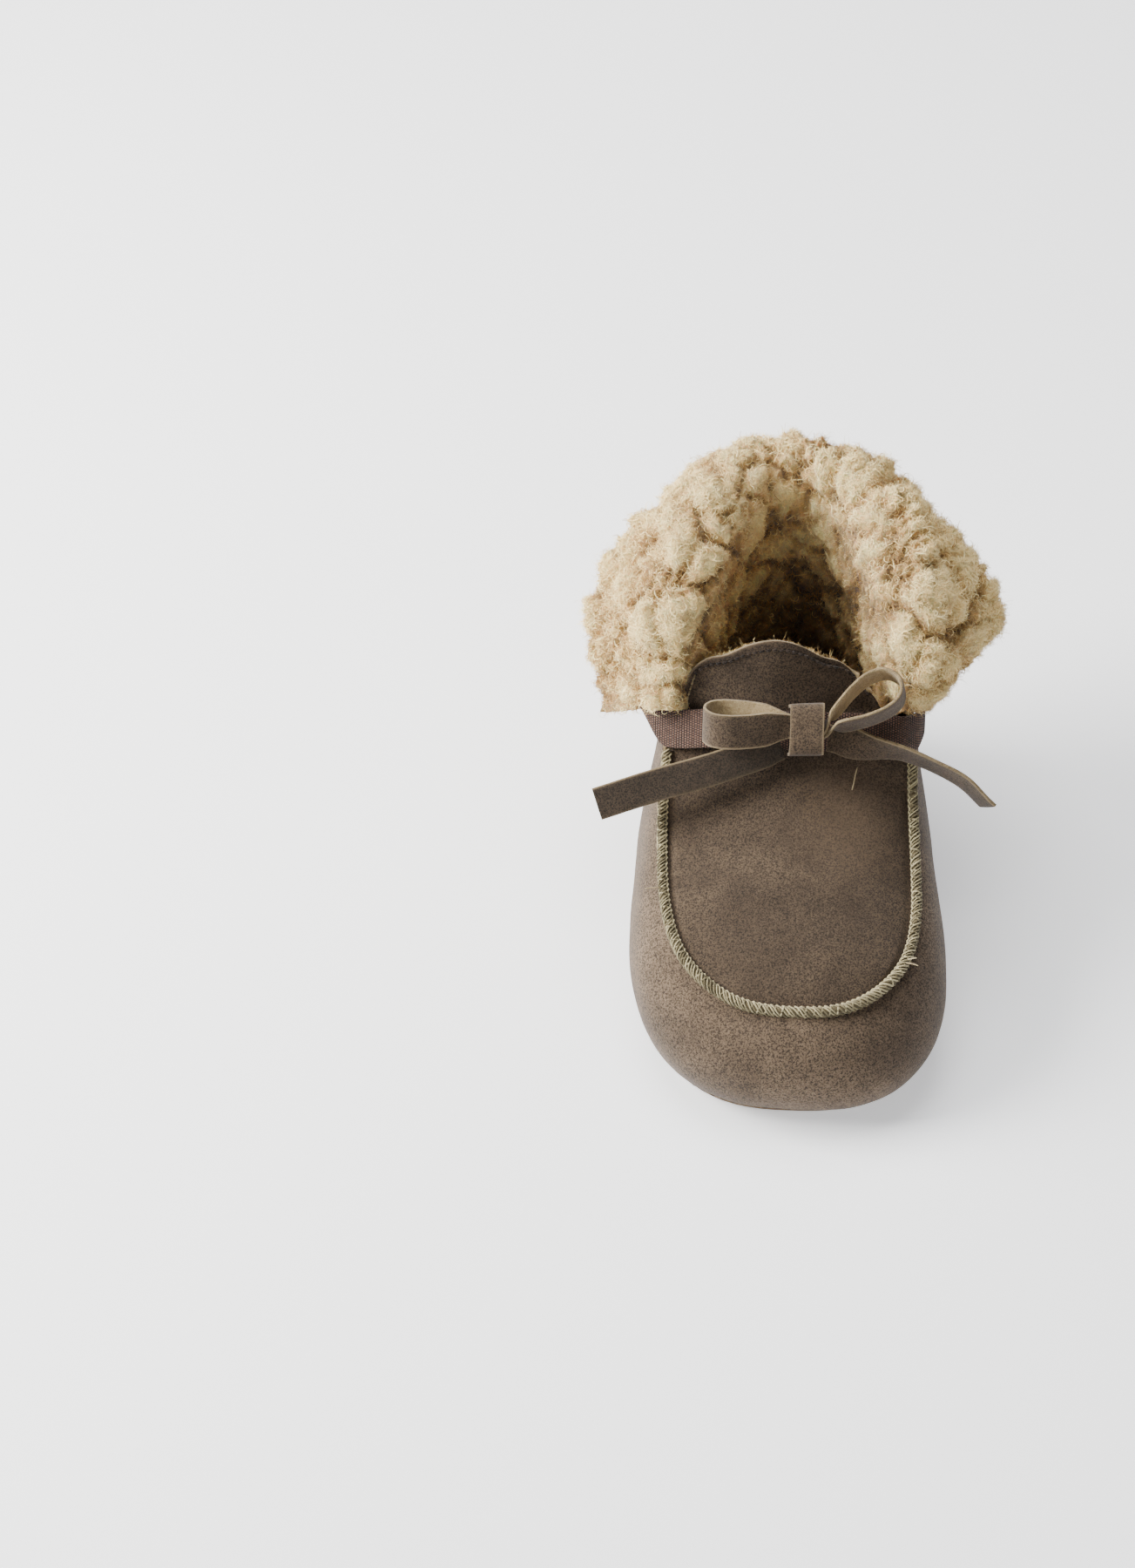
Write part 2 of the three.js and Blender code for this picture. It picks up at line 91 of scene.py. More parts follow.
SOLE_LENGTH = 116
BALL_HALF_WIDTH = 34.6
HEEL_HALF_WIDTH = 23.5
TOE_POWER = 0.74
HEEL_POWER = 0.85
TOE_SWING = 2.2
OUTSOLE = 2
FOAM = 3
INSOLE = 4
GAP = 0.35
LEATHER = 1.3
LINING_GAP = 0.65
FOAM_BOTTOM = OUTSOLE + GAP
INSOLE_BOTTOM = FOAM_BOTTOM + FOAM + GAP
INSOLE_TOP = INSOLE_BOTTOM + INSOLE

# --- number helpers


def point(x, y, z):
    return np.stack(np.broadcast_arrays(*[np.asarray(value, float) for value in (x, y, z)]), -1)


def unit(vectors):
    return vectors / np.maximum(np.linalg.norm(vectors, axis=-1, keepdims=True), 1e-9)


def ease(value, low, high):
    share = np.clip((np.asarray(value, float) - low) / (high - low), 0, 1)
    return share * share * (3 - 2 * share)


def lerp(a, b, share):
    return a + (b - a) * share


def keyed(places, values):
    """A smooth curve through values at places, held level beyond its ends."""
    t, f = np.array(places, float), np.array(values, float)
    t = np.concatenate([[2 * t[0] - t[1]], t, [2 * t[-1] - t[-2]]])
    f = np.concatenate([[f[1]], f, [f[-1]]])

    def at(x):
        x = np.clip(np.asarray(x, float), t[1], t[-2])
        i = np.clip(np.searchsorted(t, x, side="right") - 1, 1, len(t) - 3)
        span = t[i + 1] - t[i]
        w0, w1 = span / 2 / (t[i] - t[i - 1]), span / 2 / (t[i + 2] - t[i + 1])
        p = (x - t[i]) / span
        return (
            f[i - 1] * (-w0 * p**3 + 2 * w0 * p**2 - w0 * p)
            + f[i] * ((1 + w0) * p**3 - (1.5 + 2 * w0) * p**2 + (w0 - 0.5) * p + 1)
            + f[i + 1] * ((-1 - w1) * p**3 + (1.5 + w1) * p**2 + 0.5 * p)
            + f[i + 2] * (w1 * p**3 - w1 * p**2)
        )

    return at


def catmull(points):
    """A centripetal Catmull-Rom curve through points, as a function of the share along it."""
    p = np.array(points, float)
    p = np.concatenate([[2 * p[0] - p[1]], p, [2 * p[-1] - p[-2]]])
    chord = lambda m, n: np.sqrt(np.linalg.norm(n - m, axis=-1, keepdims=True))

    def at(share):
        x = np.clip(np.asarray(share, float), 0, 1) * (len(p) - 3)
        i = np.minimum(np.floor(x).astype(int), len(p) - 4)
        w = (x - i)[..., None]
        a, b, c, d = p[i], p[i + 1], p[i + 2], p[i + 3]
        d0, d1, d2 = chord(a, b), chord(b, c), chord(c, d)
        m1 = ((b - a) / d0 - (c - a) / (d0 + d1) + (c - b) / d1) * d1
        m2 = ((c - b) / d1 - (d - b) / (d1 + d2) + (d - c) / d2) * d1
        return b + m1 * w + (3 * (c - b) - 2 * m1 - m2) * w**2 + (2 * (b - c) + m1 + m2) * w**3

    return at


def scatter(cell, seed):
    """A number from 0 to 1 for each whole-number cell, always the same one."""
    mixed = np.sin(cell @ np.array([12.9898, 78.233, 37.719]) + seed * 19.19) * 43758.5453
    return mixed - np.floor(mixed)


def ripples(points, size, seed):
    """Smooth noise from -1 to 1 with features of that size."""
    scaled = points / size + seed * 7.31
    base = np.floor(scaled)
    w = scaled - base
    w = w * w * (3 - 2 * w)
    total = 0
    for corner in itertools.product((0, 1), repeat=3):
        share = np.prod(np.where(corner, w, 1 - w), axis=-1)
        total = total + share * scatter(base + corner, seed)
    return total * 2 - 1


def cells(points, size, seed):
    """Distances to the nearest and to the next of many scattered centres, in units of size, and a number
    from 0 to 1 that belongs to the nearest centre."""
    scaled = points / size + seed * 3.17
    base = np.floor(scaled)
    near = np.full(points.shape[:-1], 9.0)
    following = near.copy()
    tag = np.zeros_like(near)
    for shift in itertools.product((-1, 0, 1), repeat=3):
        cell = base + shift
        centre = cell + np.stack([scatter(cell, seed + k) for k in (0.1, 0.2, 0.3)], -1)
        away = np.linalg.norm(scaled - centre, axis=-1)
        closer = away < near
        following = np.where(closer, near, np.minimum(following, away))
        tag = np.where(closer, scatter(cell, seed + 0.4), tag)
        near = np.minimum(near, away)
    return near, following, tag


def grid(us, vs):
    return np.meshgrid(np.asarray(us, float), np.asarray(vs, float), indexing="ij")


def normal_of(surface, u, v):
    step = 1e-3
    along_u = surface(u + step, v) - surface(u - step, v)
    along_v = surface(u, v + step) - surface(u, v - step)
    return unit(np.cross(along_u, along_v))


def skin_normals(skin, loop=False):
    """Unit normals of a grid of points, on the side of its first direction crossed with its second."""
    if loop:
        along_u = np.roll(skin, -1, axis=0) - np.roll(skin, 1, axis=0)
    else:
        along_u = np.gradient(skin, axis=0)
    return unit(np.cross(along_u, np.gradient(skin, axis=1)))


# --- surfaces of the bootie


def from_toe(angle):
    turned = np.abs(angle) % 360
    return np.where(turned > 180, 360 - turned, turned)


def swing(y):
    return TOE_SWING * ease(-y, 0, SOLE_LENGTH / 2)


def outline(angle, grow_x, grow_y, z):
    """The sole's outline grown outwards: angle 0 is the toe, 90 the +X side, 180 the heel."""
    c, s = np.cos(np.radians(angle)), np.sin(np.radians(angle))
    power = np.where(c > 0, TOE_POWER, HEEL_POWER)
    half = lerp(HEEL_HALF_WIDTH, BALL_HALF_WIDTH, ease((1 + c) / 2, 0, 1)) + grow_x
    y = -(SOLE_LENGTH / 2 + grow_y) * np.sign(c) * np.abs(c) ** power
    return point(half * np.sign(s) * np.abs(s) ** power + swing(y), y, z)


TOP_ANGLES = [0, 20, 40, 60, 75, 90, 105, 120, 150, 180]
top_half = keyed(TOP_ANGLES, [30.3, 30.6, 30.9, 28.7, 26.8, 25.4, 24.7, 23, 21.6, 21.5])
top_y = keyed(TOP_ANGLES, [-51, -48.8, -41, -28.6, -15.5, 0, 16.5, 29, 47.4, 53])
top_z = keyed(TOP_ANGLES, [25, 25.4, 27, 29.5, 33.5, 43, 61, 70.5, 76, 77])


def top_edge(angle):
    """The wall's upper edge: the apron's seam in front, the fold of the cuff behind."""
    a, s = from_toe(angle), np.sin(np.radians(angle))
    x = top_half(a) * np.sign(s) * np.abs(s) ** HEEL_POWER
    return point(x + swing(top_y(a)), top_y(a), top_z(a))


low_grow = keyed([0, 90, 180], [5.5, 5, 4.5])
low_height = keyed([0, 90, 180], [8, 9, 10])
high_grow_x = keyed([0, 60, 93, 130, 180], [4, 4.2, 2.6, 0.3, -1])
high_grow_y = keyed([0, 60, 93, 130, 180], [3, 3, 2, -2, -5])
high_height = keyed([0, 60, 93, 130, 180], [20, 22, 30, 42, 45])


def wrap_face(angle, v):
    """The outer face of the wall, v running from the sole seam to the top edge."""
    a = from_toe(angle)
    v = np.asarray(v, float)[..., None]
    return (
        outline(angle, -1, -1, OUTSOLE + GAP) * (1 - v) ** 3
        + outline(angle, low_grow(a), low_grow(a), low_height(a)) * 3 * v * (1 - v) ** 2
        + outline(angle, high_grow_x(a), high_grow_y(a), high_height(a)) * 3 * v**2 * (1 - v)
        + top_edge(angle) * v**3
    )


wrap_top = keyed([0, 55, 82, 94, 102, 180], [0.99, 0.99, 0.965, 0.955, 0.98, 0.985])
lining_top = keyed([0, 88, 104, 180], [0.78, 0.78, 0.92, 0.95])
lining_pile = keyed([0, 70, 110, 180], [3.4, 3.4, 5, 5])


def lining_face(angle, v):
    """The mean face of the pile inside the wall."""
    depth = LEATHER + LINING_GAP + lining_pile(from_toe(angle))
    return wrap_face(angle, v) - normal_of(wrap_face, angle, v) * depth[..., None]


apron_crown = keyed([0, 30, 45, 60, 90], [0, 2.5, 4, 5, 6])
APRON_FRONT = 6
APRON_BACK = 93


def apron_face(s, angle):
    """The outer face of the apron: s across from -1 to 1, angle from the toe back to the tongue."""
    edge = top_edge(angle)
    lean = swing(edge[..., 1])
    rise = apron_crown(angle) * (1 - s * s)
    return point(s * (edge[..., 0] - lean) + lean, edge[..., 1], edge[..., 2] + rise)


TONGUE_SLOPE = math.radians(66)
TONGUE_LENGTH = 19
tongue_rise = np.array([0, math.cos(TONGUE_SLOPE), math.sin(TONGUE_SLOPE)])
tongue_out = np.array([0, -tongue_rise[2], tongue_rise[1]])
tongue_foot = apron_face(np.float64(0), np.float64(APRON_BACK))
tongue_half = keyed([0, 0.3, 0.65, 1], [24.2, 21.4, 19.8, 17.6])
ogee = keyed([0, 0.3, 0.55, 0.8, 0.93, 1], [0, -1.2, -3.6, -5.2, -7.4, -9.6])


def tongue_face(s, share):
    """The outer face of the tongue: s across, share from the hinge line up to the top edge."""
    s, share = np.broadcast_arrays(np.asarray(s, float), np.asarray(share, float))
    reach = share * (TONGUE_LENGTH + ogee(np.abs(s)))
    x = s * tongue_half(share) - 4 * share**2 - 3.2 * ease(share, 0, 0.3) * (1 - share)
    crown = (6 - 3.5 * share) * s * s
    return tongue_foot + point(x, 0, 0) + reach[..., None] * tongue_rise - crown[..., None] * tongue_out


fall_out = keyed([97, 120, 145, 180], [0.46, 0.55, 0.52, 0.26])
# How far the cuff falls down and back: the left side first, then the right.
WING_ANGLES = [97, 115, 140, 180]
fall_down = [keyed(WING_ANGLES, drops) for drops in ([0.66, 0.8, 0.93, 0.95], [0.12, 0.55, 0.9, 0.95])]
fall_back = [keyed(WING_ANGLES, backs) for backs in ([0.54, 0.3, 0.05, 0], [0.76, 0.36, 0.05, 0])]
cuff_drop = keyed([97, 115, 145, 180], [25, 25, 27, 27])
cuff_pile = keyed([96, 110, 150, 180], [2.8, 6.2, 5.6, 4.2])
inner_pile = keyed([96, 112, 135, 180], [0.35, 0.5, 0.75, 0.75])
CUFF_START = 98.5
CUFF_END = 262
FOLD_RADIUS = 2
# The share of the wall's height where its lining's pile begins, just under the insole.
LINING_FOOT = 0.13


def cuff_middle(angle, share):
    """The middle of the cuff's leather: share 0 to 0.3 goes over the fold, and the rest falls outwards."""
    a, right = from_toe(angle), angle < 180
    flat = outline(angle + 1, 0, 0, 0) - outline(angle - 1, 0, 0, 0)
    outwards = unit(np.stack([flat[..., 1], -flat[..., 0], flat[..., 2]], -1)) * fall_out(a)[..., None]
    down = np.where(right, fall_down[1](a), fall_down[0](a))
    back = np.where(right, fall_back[1](a), fall_back[0](a))
    fall = unit(outwards + point(0, back, -down))
    along = unit(top_edge(angle + 0.5) - top_edge(angle - 0.5))
    up = unit(np.cross(normal_of(wrap_face, angle, np.full_like(a, 0.97)), along))
    out = unit(np.cross(along, up))
    last = np.arctan2((fall * out).sum(-1), -(fall * up).sum(-1))
    turn = lerp(math.radians(168), last, np.minimum(share / 0.3, 1))[..., None]
    centre = top_edge(angle) + out * 0.9 + up * 0.8
    arc = out * np.cos(turn) + up * np.sin(turn)
    return centre + arc * FOLD_RADIUS + fall * (cuff_drop(a) * np.maximum(share - 0.3, 0) / 0.7)[..., None]


def instep(x, out, up):
    """A point of the strap and bow: x across, out towards the toe, up along the instep."""
    root = math.sqrt(0.5)
    return point(x, (up - out) * root, (up + out) * root)


instep_out = np.array([0, -math.sqrt(0.5), math.sqrt(0.5)])
instep_up = np.array([0, math.sqrt(0.5), math.sqrt(0.5)])

# --- materials


def srgb(red, green, blue):
    """A colour from 0 to 255 as a screen shows it, as the shader's linear colour."""
    parts = [value / 255 for value in (red, green, blue)]
    return tuple(p / 12.92 if p <= 0.04045 else ((p + 0.055) / 1.055) ** 2.4 for p in parts) + (1,)


class Look:
    """One material and a few ways to add nodes to it."""

    def __init__(self, name, roughness=0.9, sheen=0.0, specular=0.3):
        self.material = bpy.data.materials.new(name)
        self.material.use_nodes = True
        self.tree = self.material.node_tree
        self.shader = self.tree.nodes["Principled BSDF"]
        self.shader.inputs["Roughness"].default_value = roughness
        self.shader.inputs["Specular IOR Level"].default_value = specular
        self.shader.inputs["Sheen Weight"].default_value = sheen
        self.shader.inputs["Sheen Roughness"].default_value = 0.5

    def add(self, kind, inputs=(), **settings):
        made = self.tree.nodes.new(kind)
        for key, value in settings.items():
            setattr(made, key, value)
        for key, value in dict(inputs).items():
            if isinstance(value, bpy.types.NodeSocket):
                self.tree.links.new(value, made.inputs[key])
            else:
                made.inputs[key].default_value = value
        return made

    def attribute(self, name, output="Fac"):
        return self.add("ShaderNodeAttribute", attribute_name=name).outputs[output]

    def noise(self, size, detail=2.0, rough=0.5, warp=0.0):
        """Noise from 0 to 1 with features of size millimetres at rest."""
        made = self.add("ShaderNodeTexNoise", {
            "Vector": self.attribute("rest", "Vector"), "Scale": 1 / size, "Detail": detail,
            "Roughness": rough, "Distortion": warp,
        })
        return made.outputs["Fac"]

    def ramp(self, value, *stops):
        """Colours or numbers at places from 0 to 1 of value."""
        made = self.add("ShaderNodeValToRGB", {"Fac": value})
        elements = made.color_ramp.elements
        while len(elements) < len(stops):
            elements.new(0.5)
        for element, (place, colour) in zip(elements, stops):
            element.position = place
            element.color = colour if isinstance(colour, tuple) else (colour, colour, colour, 1)
        return made.outputs["Color"]

    def mix(self, share, a, b, blend="MIX"):
        made = self.add("ShaderNodeMix", data_type="RGBA", blend_type=blend)
        for socket, value in ((made.inputs[0], share), (made.inputs[6], a), (made.inputs[7], b)):
            if isinstance(value, bpy.types.NodeSocket):
                self.tree.links.new(value, socket)
            else:
                socket.default_value = value
        return made.outputs[2]

    def math(self, operation, a, b=0.0):
        return self.add("ShaderNodeMath", {0: a, 1: b}, operation=operation).outputs[0]

    def times(self, a, b):
        """One colour multiplied by another."""
        return self.mix(1.0, a, b, "MULTIPLY")

    def bump(self, height, distance):
        """Relief of that many millimetres."""
        made = self.add("ShaderNodeBump", {"Height": height, "Distance": distance / 1000, "Strength": 1.0})
        if self.shader.inputs["Normal"].is_linked:
            self.tree.links.new(self.shader.inputs["Normal"].links[0].from_socket, made.inputs["Normal"])
        self.tree.links.new(made.outputs["Normal"], self.shader.inputs["Normal"])

    def colour(self, socket):
        self.tree.links.new(socket, self.shader.inputs["Base Color"])


def nubuck(name, light_tone, dark_tone, speck_tone, worn_tone=None, wear=0.4, grain=0.36):
    """Brushed leather: dark specks in a lighter nap, cloudy from place to place, worn paler on its edges."""
    look = Look(name, roughness=0.88, sheen=0.12, specular=0.22)
    cloud = look.ramp(look.noise(17, 3, 0.6, 0.4), (0.36, 0.0), (0.64, 1.0))
    nap = look.mix(cloud, dark_tone, light_tone)
    blotch = look.ramp(look.noise(2.6, 3, 0.7), (0.35, 0.86), (0.65, 1.06))
    nap = look.times(nap, blotch)
    speck = look.noise(grain, 2.0, 0.6, 0.6)
    share = look.ramp(speck, (0.42, 1.0), (0.56, 0.0))
    tinted = look.mix(look.math("MULTIPLY", share, 0.88), nap, speck_tone)
    glint = look.ramp(look.noise(grain * 0.8, 1, 0.5), (0.54, 0.0), (0.68, 0.45))
    tinted = look.mix(glint, tinted, light_tone)
    # The edge attribute is edge wear, and on the apron also a painted light patch.
    worn = look.ramp(look.attribute("edge"), (0.0, 0.0), (1.0, wear))
    tinted = look.mix(worn, tinted, worn_tone or light_tone)
    look.colour(tinted)
    look.bump(speck, 0.16)
    look.bump(look.noise(1.6, 3, 0.6), 0.12)
    rough = look.math("ADD", look.math("MULTIPLY", speck, 0.18), 0.78)
    look.tree.links.new(rough, look.shader.inputs["Roughness"])
    return look.material


def fleshy(name, light_tone, dark_tone):
    """The cut edge and the napped back of the leather: pale and fibrous."""
    look = Look(name, roughness=0.97, sheen=0.2, specular=0.15)
    fibres = look.noise(0.55, 4, 0.75, 1.2)
    tone = look.mix(look.ramp(fibres, (0.35, 0.0), (0.65, 1.0)), dark_tone, light_tone)
    stain = look.ramp(look.noise(4.5, 2, 0.5), (0.3, 0.84), (0.7, 1.05))
    look.colour(look.times(tone, stain))
    look.bump(fibres, 0.2)
    return look.material


def wool(name, peak, middle, crease):
    """The body of the fleece under its loose fibres: paler on the clumps and darker, warmer in the creases, by
    the tone attribute's painted light and shade.
    """
    look = Look(name, roughness=1.0, sheen=0.35, specular=0.08)
    tone = look.ramp(look.attribute("tone"), (0.0, crease), (0.42, middle), (0.85, peak))
    strands = look.noise(0.55, 4, 0.7, 2.4)
    streak = look.ramp(strands, (0.3, 0.62), (0.68, 1.14))
    tint = look.times(tone, streak)
    warm = look.ramp(look.noise(7, 2, 0.5, 0.8), (0.45, 0.0), (0.72, 0.45))
    look.colour(look.mix(warm, tint, look.times(tint, srgb(242, 216, 178))))
    look.bump(strands, 0.55)
    look.bump(look.noise(1.5, 3, 0.65, 1.2), 0.6)
    look.shader.inputs["Subsurface Weight"].default_value = 0.3
    look.shader.inputs["Subsurface Scale"].default_value = 0.0012
    return look.material


def plain_fibre(name, tone):
    look = Look(name, roughness=1.0, sheen=0.25, specular=0.08)
    look.shader.inputs["Base Color"].default_value = tone
    return look.material


def spun(name, light_tone, dark_tone):
    """Sewing thread, its tone varying from stitch to stitch."""
    look = Look(name, roughness=0.85, sheen=0.15, specular=0.2)
    fibres = look.noise(0.22, 3, 0.7, 0.6)
    tone = look.mix(look.attribute("tone"), dark_tone, light_tone)
    look.colour(look.times(tone, look.ramp(fibres, (0.3, 0.72), (0.7, 1.12))))
    look.bump(fibres, 0.1)
    return look.material


def knitted(name, light_tone, dark_tone):
    """Covered elastic: fine ribs across the band, broken into staggered dots."""
    look = Look(name, roughness=0.85, sheen=0.2, specular=0.25)
    bricks = look.add("ShaderNodeTexBrick", {
        "Vector": look.attribute("flat", "Vector"), "Scale": 1.0, "Mortar Size": 0.14, "Mortar Smooth": 0.7,
        "Brick Width": 0.5, "Row Height": 0.56, "Color1": (1, 1, 1, 1), "Color2": (0.62, 0.62, 0.62, 1),
        "Mortar": (0, 0, 0, 1),
    }, offset=0.5)
    cloud = look.ramp(look.noise(1.1, 2, 0.6), (0.3, 0.82), (0.7, 1.1))
    tone = look.mix(bricks.outputs["Color"], dark_tone, light_tone)
    look.colour(look.times(tone, cloud))
    look.bump(bricks.outputs["Color"], 0.16)
    return look.material


def felted(name, light_tone, dark_tone, size=0.9):
    look = Look(name, roughness=0.95, sheen=0.1, specular=0.2)
    grain = look.noise(size, 4, 0.7, 0.5)
    look.colour(look.ramp(grain, (0.32, dark_tone), (0.68, light_tone)))
    look.bump(grain, 0.2)
    return look.material


RAW_EDGE = srgb(150, 131, 100)
wrap_leather = nubuck("wrap_leather", srgb(117, 99, 80), srgb(89, 74, 59), srgb(31, 23, 15))
apron_leather = nubuck("apron_leather", srgb(90, 75, 59), srgb(69, 56, 43), srgb(24, 17, 11),
                       srgb(134, 112, 90), 0.5, 0.33)
ribbon_leather = nubuck("ribbon_leather", srgb(94, 78, 61), srgb(72, 59, 45), srgb(30, 22, 14),
                        RAW_EDGE, 0.7, 0.33)
# A darker copy of the ribbon leather for the left tail: painted shade.
shaded_ribbon = nubuck("shaded_ribbon", srgb(60, 49, 38), srgb(44, 36, 27), srgb(20, 15, 9),
                       RAW_EDGE, 0.7, 0.33)
raw_leather = fleshy("raw_leather", srgb(180, 160, 122), srgb(130, 111, 80))
cut_leather = fleshy("cut_leather", srgb(158, 139, 104), srgb(106, 90, 66))
cream_wool = wool("cream_wool", srgb(248, 227, 164), srgb(222, 185, 120), srgb(108, 80, 46))
# A darker copy of the wool for the linings inside the shoe: painted shade.
lining_wool_painted_shade = wool("lining_wool_painted_shade", srgb(214, 190, 140), srgb(168, 134, 86), srgb(80, 54, 28))
fibre_looks = [
    plain_fibre("fibre_pale", srgb(248, 229, 172)),
    plain_fibre("fibre_middle", srgb(236, 206, 144)),
    plain_fibre("fibre_warm", srgb(182, 146, 94)),
]
overlock_thread = spun("overlock_thread", srgb(188, 176, 138), srgb(92, 82, 58))
dark_thread = spun("dark_thread", srgb(50, 38, 28), srgb(26, 19, 14))
pale_thread = spun("pale_thread", srgb(206, 190, 152), srgb(160, 140, 104))
sole_thread = spun("sole_thread", srgb(82, 68, 53), srgb(58, 47, 36))
mauve_thread = spun("mauve_thread", srgb(128, 98, 84), srgb(88, 62, 52))
elastic_knit = knitted("elastic_knit", srgb(128, 96, 80), srgb(28, 18, 14))
sole_suede = felted("sole_suede", srgb(124, 104, 82), srgb(88, 72, 55))
foam_look = felted("foam_look", srgb(226, 222, 210), srgb(196, 190, 176), 1.4)

# --- mesh building


def build(name, points, faces, looks, body=None, which=None, **attributes):
    """A smooth-shaded piece from points in millimetres. which gives each face's material; attributes are one
    number or one vector a point."""
    points = np.asarray(points, float)
    mesh = bpy.data.meshes.new(name)
    mesh.from_pydata((points / 1000).tolist(), [], faces if isinstance(faces, list) else faces.tolist())
    for look in looks:
        mesh.materials.append(look)
    if which is not None:
        mesh.polygons.foreach_set("material_index", np.asarray(which, np.int32))
    mesh.polygons.foreach_set("use_smooth", np.ones(len(mesh.polygons), bool))
    for key, values in {"rest": points, **attributes}.items():
        values = np.asarray(values, np.float32)
        if values.ndim == 2:
            mesh.attributes.new(key, "FLOAT_VECTOR", "POINT").data.foreach_set("vector", values.ravel())
        else:
            mesh.attributes.new(key, "FLOAT", "POINT").data.foreach_set("value", values)
    mesh.update()
    made = bpy.data.objects.new(name, mesh)
    bpy.context.scene.collection.objects.link(made)
    if body:
        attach(made, body)
    return made


def settle(piece, slot, *nodes):
    """Hides the CAD nodes that the piece stands for and returns the piece. slot is not used."""
    if nodes:
        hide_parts(*nodes)
    return piece


def grid_faces(rows, columns, loop=False, start=0, flip=False):
    i, j = np.meshgrid(np.arange(rows if loop else rows - 1), np.arange(columns - 1), indexing="ij")
    i, j = i.ravel(), j.ravel()
    following = (i + 1) % rows
    a, b = i * columns + j, following * columns + j
    quads = np.stack([a, b, b + 1, a + 1], 1)
    return (quads[:, ::-1] if flip else quads) + start


def sheet_faces(rows, columns, loop=False):
    """Faces of a closed sheet of material between a front and a back grid, and what each belongs to:
    0 front, 1 back, 2 edge."""
    count = rows * columns
    front = grid_faces(rows, columns, loop)
    back = grid_faces(rows, columns, loop, count, True)
    at = np.arange(count).reshape(rows, columns)
    borders = [(at[:, 0], 1), (at[:, -1], -1)]
    if not loop:
        borders += [(at[0], -1), (at[-1], 1)]
    rims = []
    for line, way in borders:
        a, b = (line, np.roll(line, -1)) if loop else (line[:-1], line[1:])
        rim = np.stack([a, a + count, b + count, b], 1)
        rims.append(rim[:, ::-1] if way < 0 else rim)
    rims = np.concatenate(rims)
    which = np.repeat([0, 1, 2], [len(front), len(back), len(rims)])
    return np.concatenate([front, back, rims]), which


def facing_out(points, faces):
    """The faces turned so that they enclose a positive volume."""
    a, b, c, d = [points[faces[:, k]] for k in range(4)]
    volume = (a * np.cross(b, c)).sum() + (a * np.cross(c, d)).sum()
    return faces if volume > 0 else faces[:, ::-1]


def sheet_piece(name, front, back, looks, body=None, loop=False, edge=None, flat=None, tone=None):
    """A sheet of material between two grids of points. looks are those of its front, back and cut edges."""
    rows, columns = front.shape[:2]
    faces, which = sheet_faces(rows, columns, loop)
    points = np.concatenate([front.reshape(-1, 3), back.reshape(-1, 3)])
    extra = {}
    for key, values in (("edge", edge), ("tone", tone), ("flat", flat)):
        if values is not None:
            extra[key] = np.concatenate([values.reshape(rows * columns, *values.shape[2:])] * 2)
    return build(name, points, facing_out(points, faces), looks, body, which, **extra)


def tubes(paths, radii, sides=6, taper=True):
    """Points and faces of many short round tubes: paths is tubes x steps x 3."""
    paths = np.asarray(paths, float)
    count, steps = paths.shape[:2]
    along = unit(np.gradient(paths, axis=1))
    guide = np.where(np.abs(along[..., 2:]) > 0.9, [[[1.0, 0, 0]]], [[[0, 0, 1.0]]])
    side = unit(np.cross(along, guide))
    other = np.cross(along, side)
    turn = np.arange(sides) * 2 * math.pi / sides
    ends = np.ones(steps)
    if taper:
        ends[0] = ends[-1] = 0.45
    radius = np.asarray(radii, float).reshape(-1, 1, 1, 1) * ends.reshape(1, -1, 1, 1)
    ring = side[:, :, None] * np.cos(turn)[:, None] + other[:, :, None] * np.sin(turn)[:, None]
    points = (paths[:, :, None] + ring * radius).reshape(-1, 3)
    k, s, r = np.meshgrid(np.arange(count), np.arange(steps - 1), np.arange(sides), indexing="ij")
    k, s, r = k.ravel(), s.ravel(), r.ravel()
    around = (r + 1) % sides
    first = (k * steps + s) * sides
    quads = np.stack([first + r, first + around, first + sides + around, first + sides + r], 1)
    faces = quads.tolist()
    for tube in range(count):
        start = tube * steps * sides
        faces.append(list(range(start + sides - 1, start - 1, -1)))
        faces.append(list(range(start + (steps - 1) * sides, start + steps * sides)))
    return points, faces


def tube_piece(name, paths, radii, look, body, sides=6, seed=1):
    """Many short tubes as one piece, each a little lighter or darker than the next."""
    points, faces = tubes(paths, radii, sides)
    rng = np.random.default_rng(seed)
    tone = np.repeat(rng.uniform(0, 1, len(paths)), len(points) // len(paths))
    return build(name, points, faces, [look], body, tone=tone)


def dashes(line, normals, length, lift, sink=0.25, steps=5):
    """One stitch a point of the line, each diving into the material at both its ends."""
    along = unit(np.gradient(line, axis=0))
    share = np.linspace(-1, 1, steps)
    height = lift - (lift + sink) * share**4
    return line[:, None] + along[:, None] * (share * length / 2)[:, None] + normals[:, None] * height[:, None]


def run_along(line):
    """The distance along a line of points, up to each of them."""
    return np.concatenate([[0], np.cumsum(np.linalg.norm(np.diff(line, axis=0), axis=1))])


def spaced(curve, pitch, fine=2000):
    """Shares along curve(share) that are a pitch apart in millimetres."""
    shares = np.linspace(0, 1, fine)
    run = run_along(curve(shares))
    return np.interp(np.arange(pitch / 2, run[-1], pitch), run, shares)


def on_track(face, track, pitch):
    """Shares a pitch apart along track(share) on a face, with the points and the face's normals there."""
    shares = spaced(lambda share: face(*track(share)), pitch)
    return shares, face(*track(shares)), normal_of(face, *track(shares))


# --- fleece


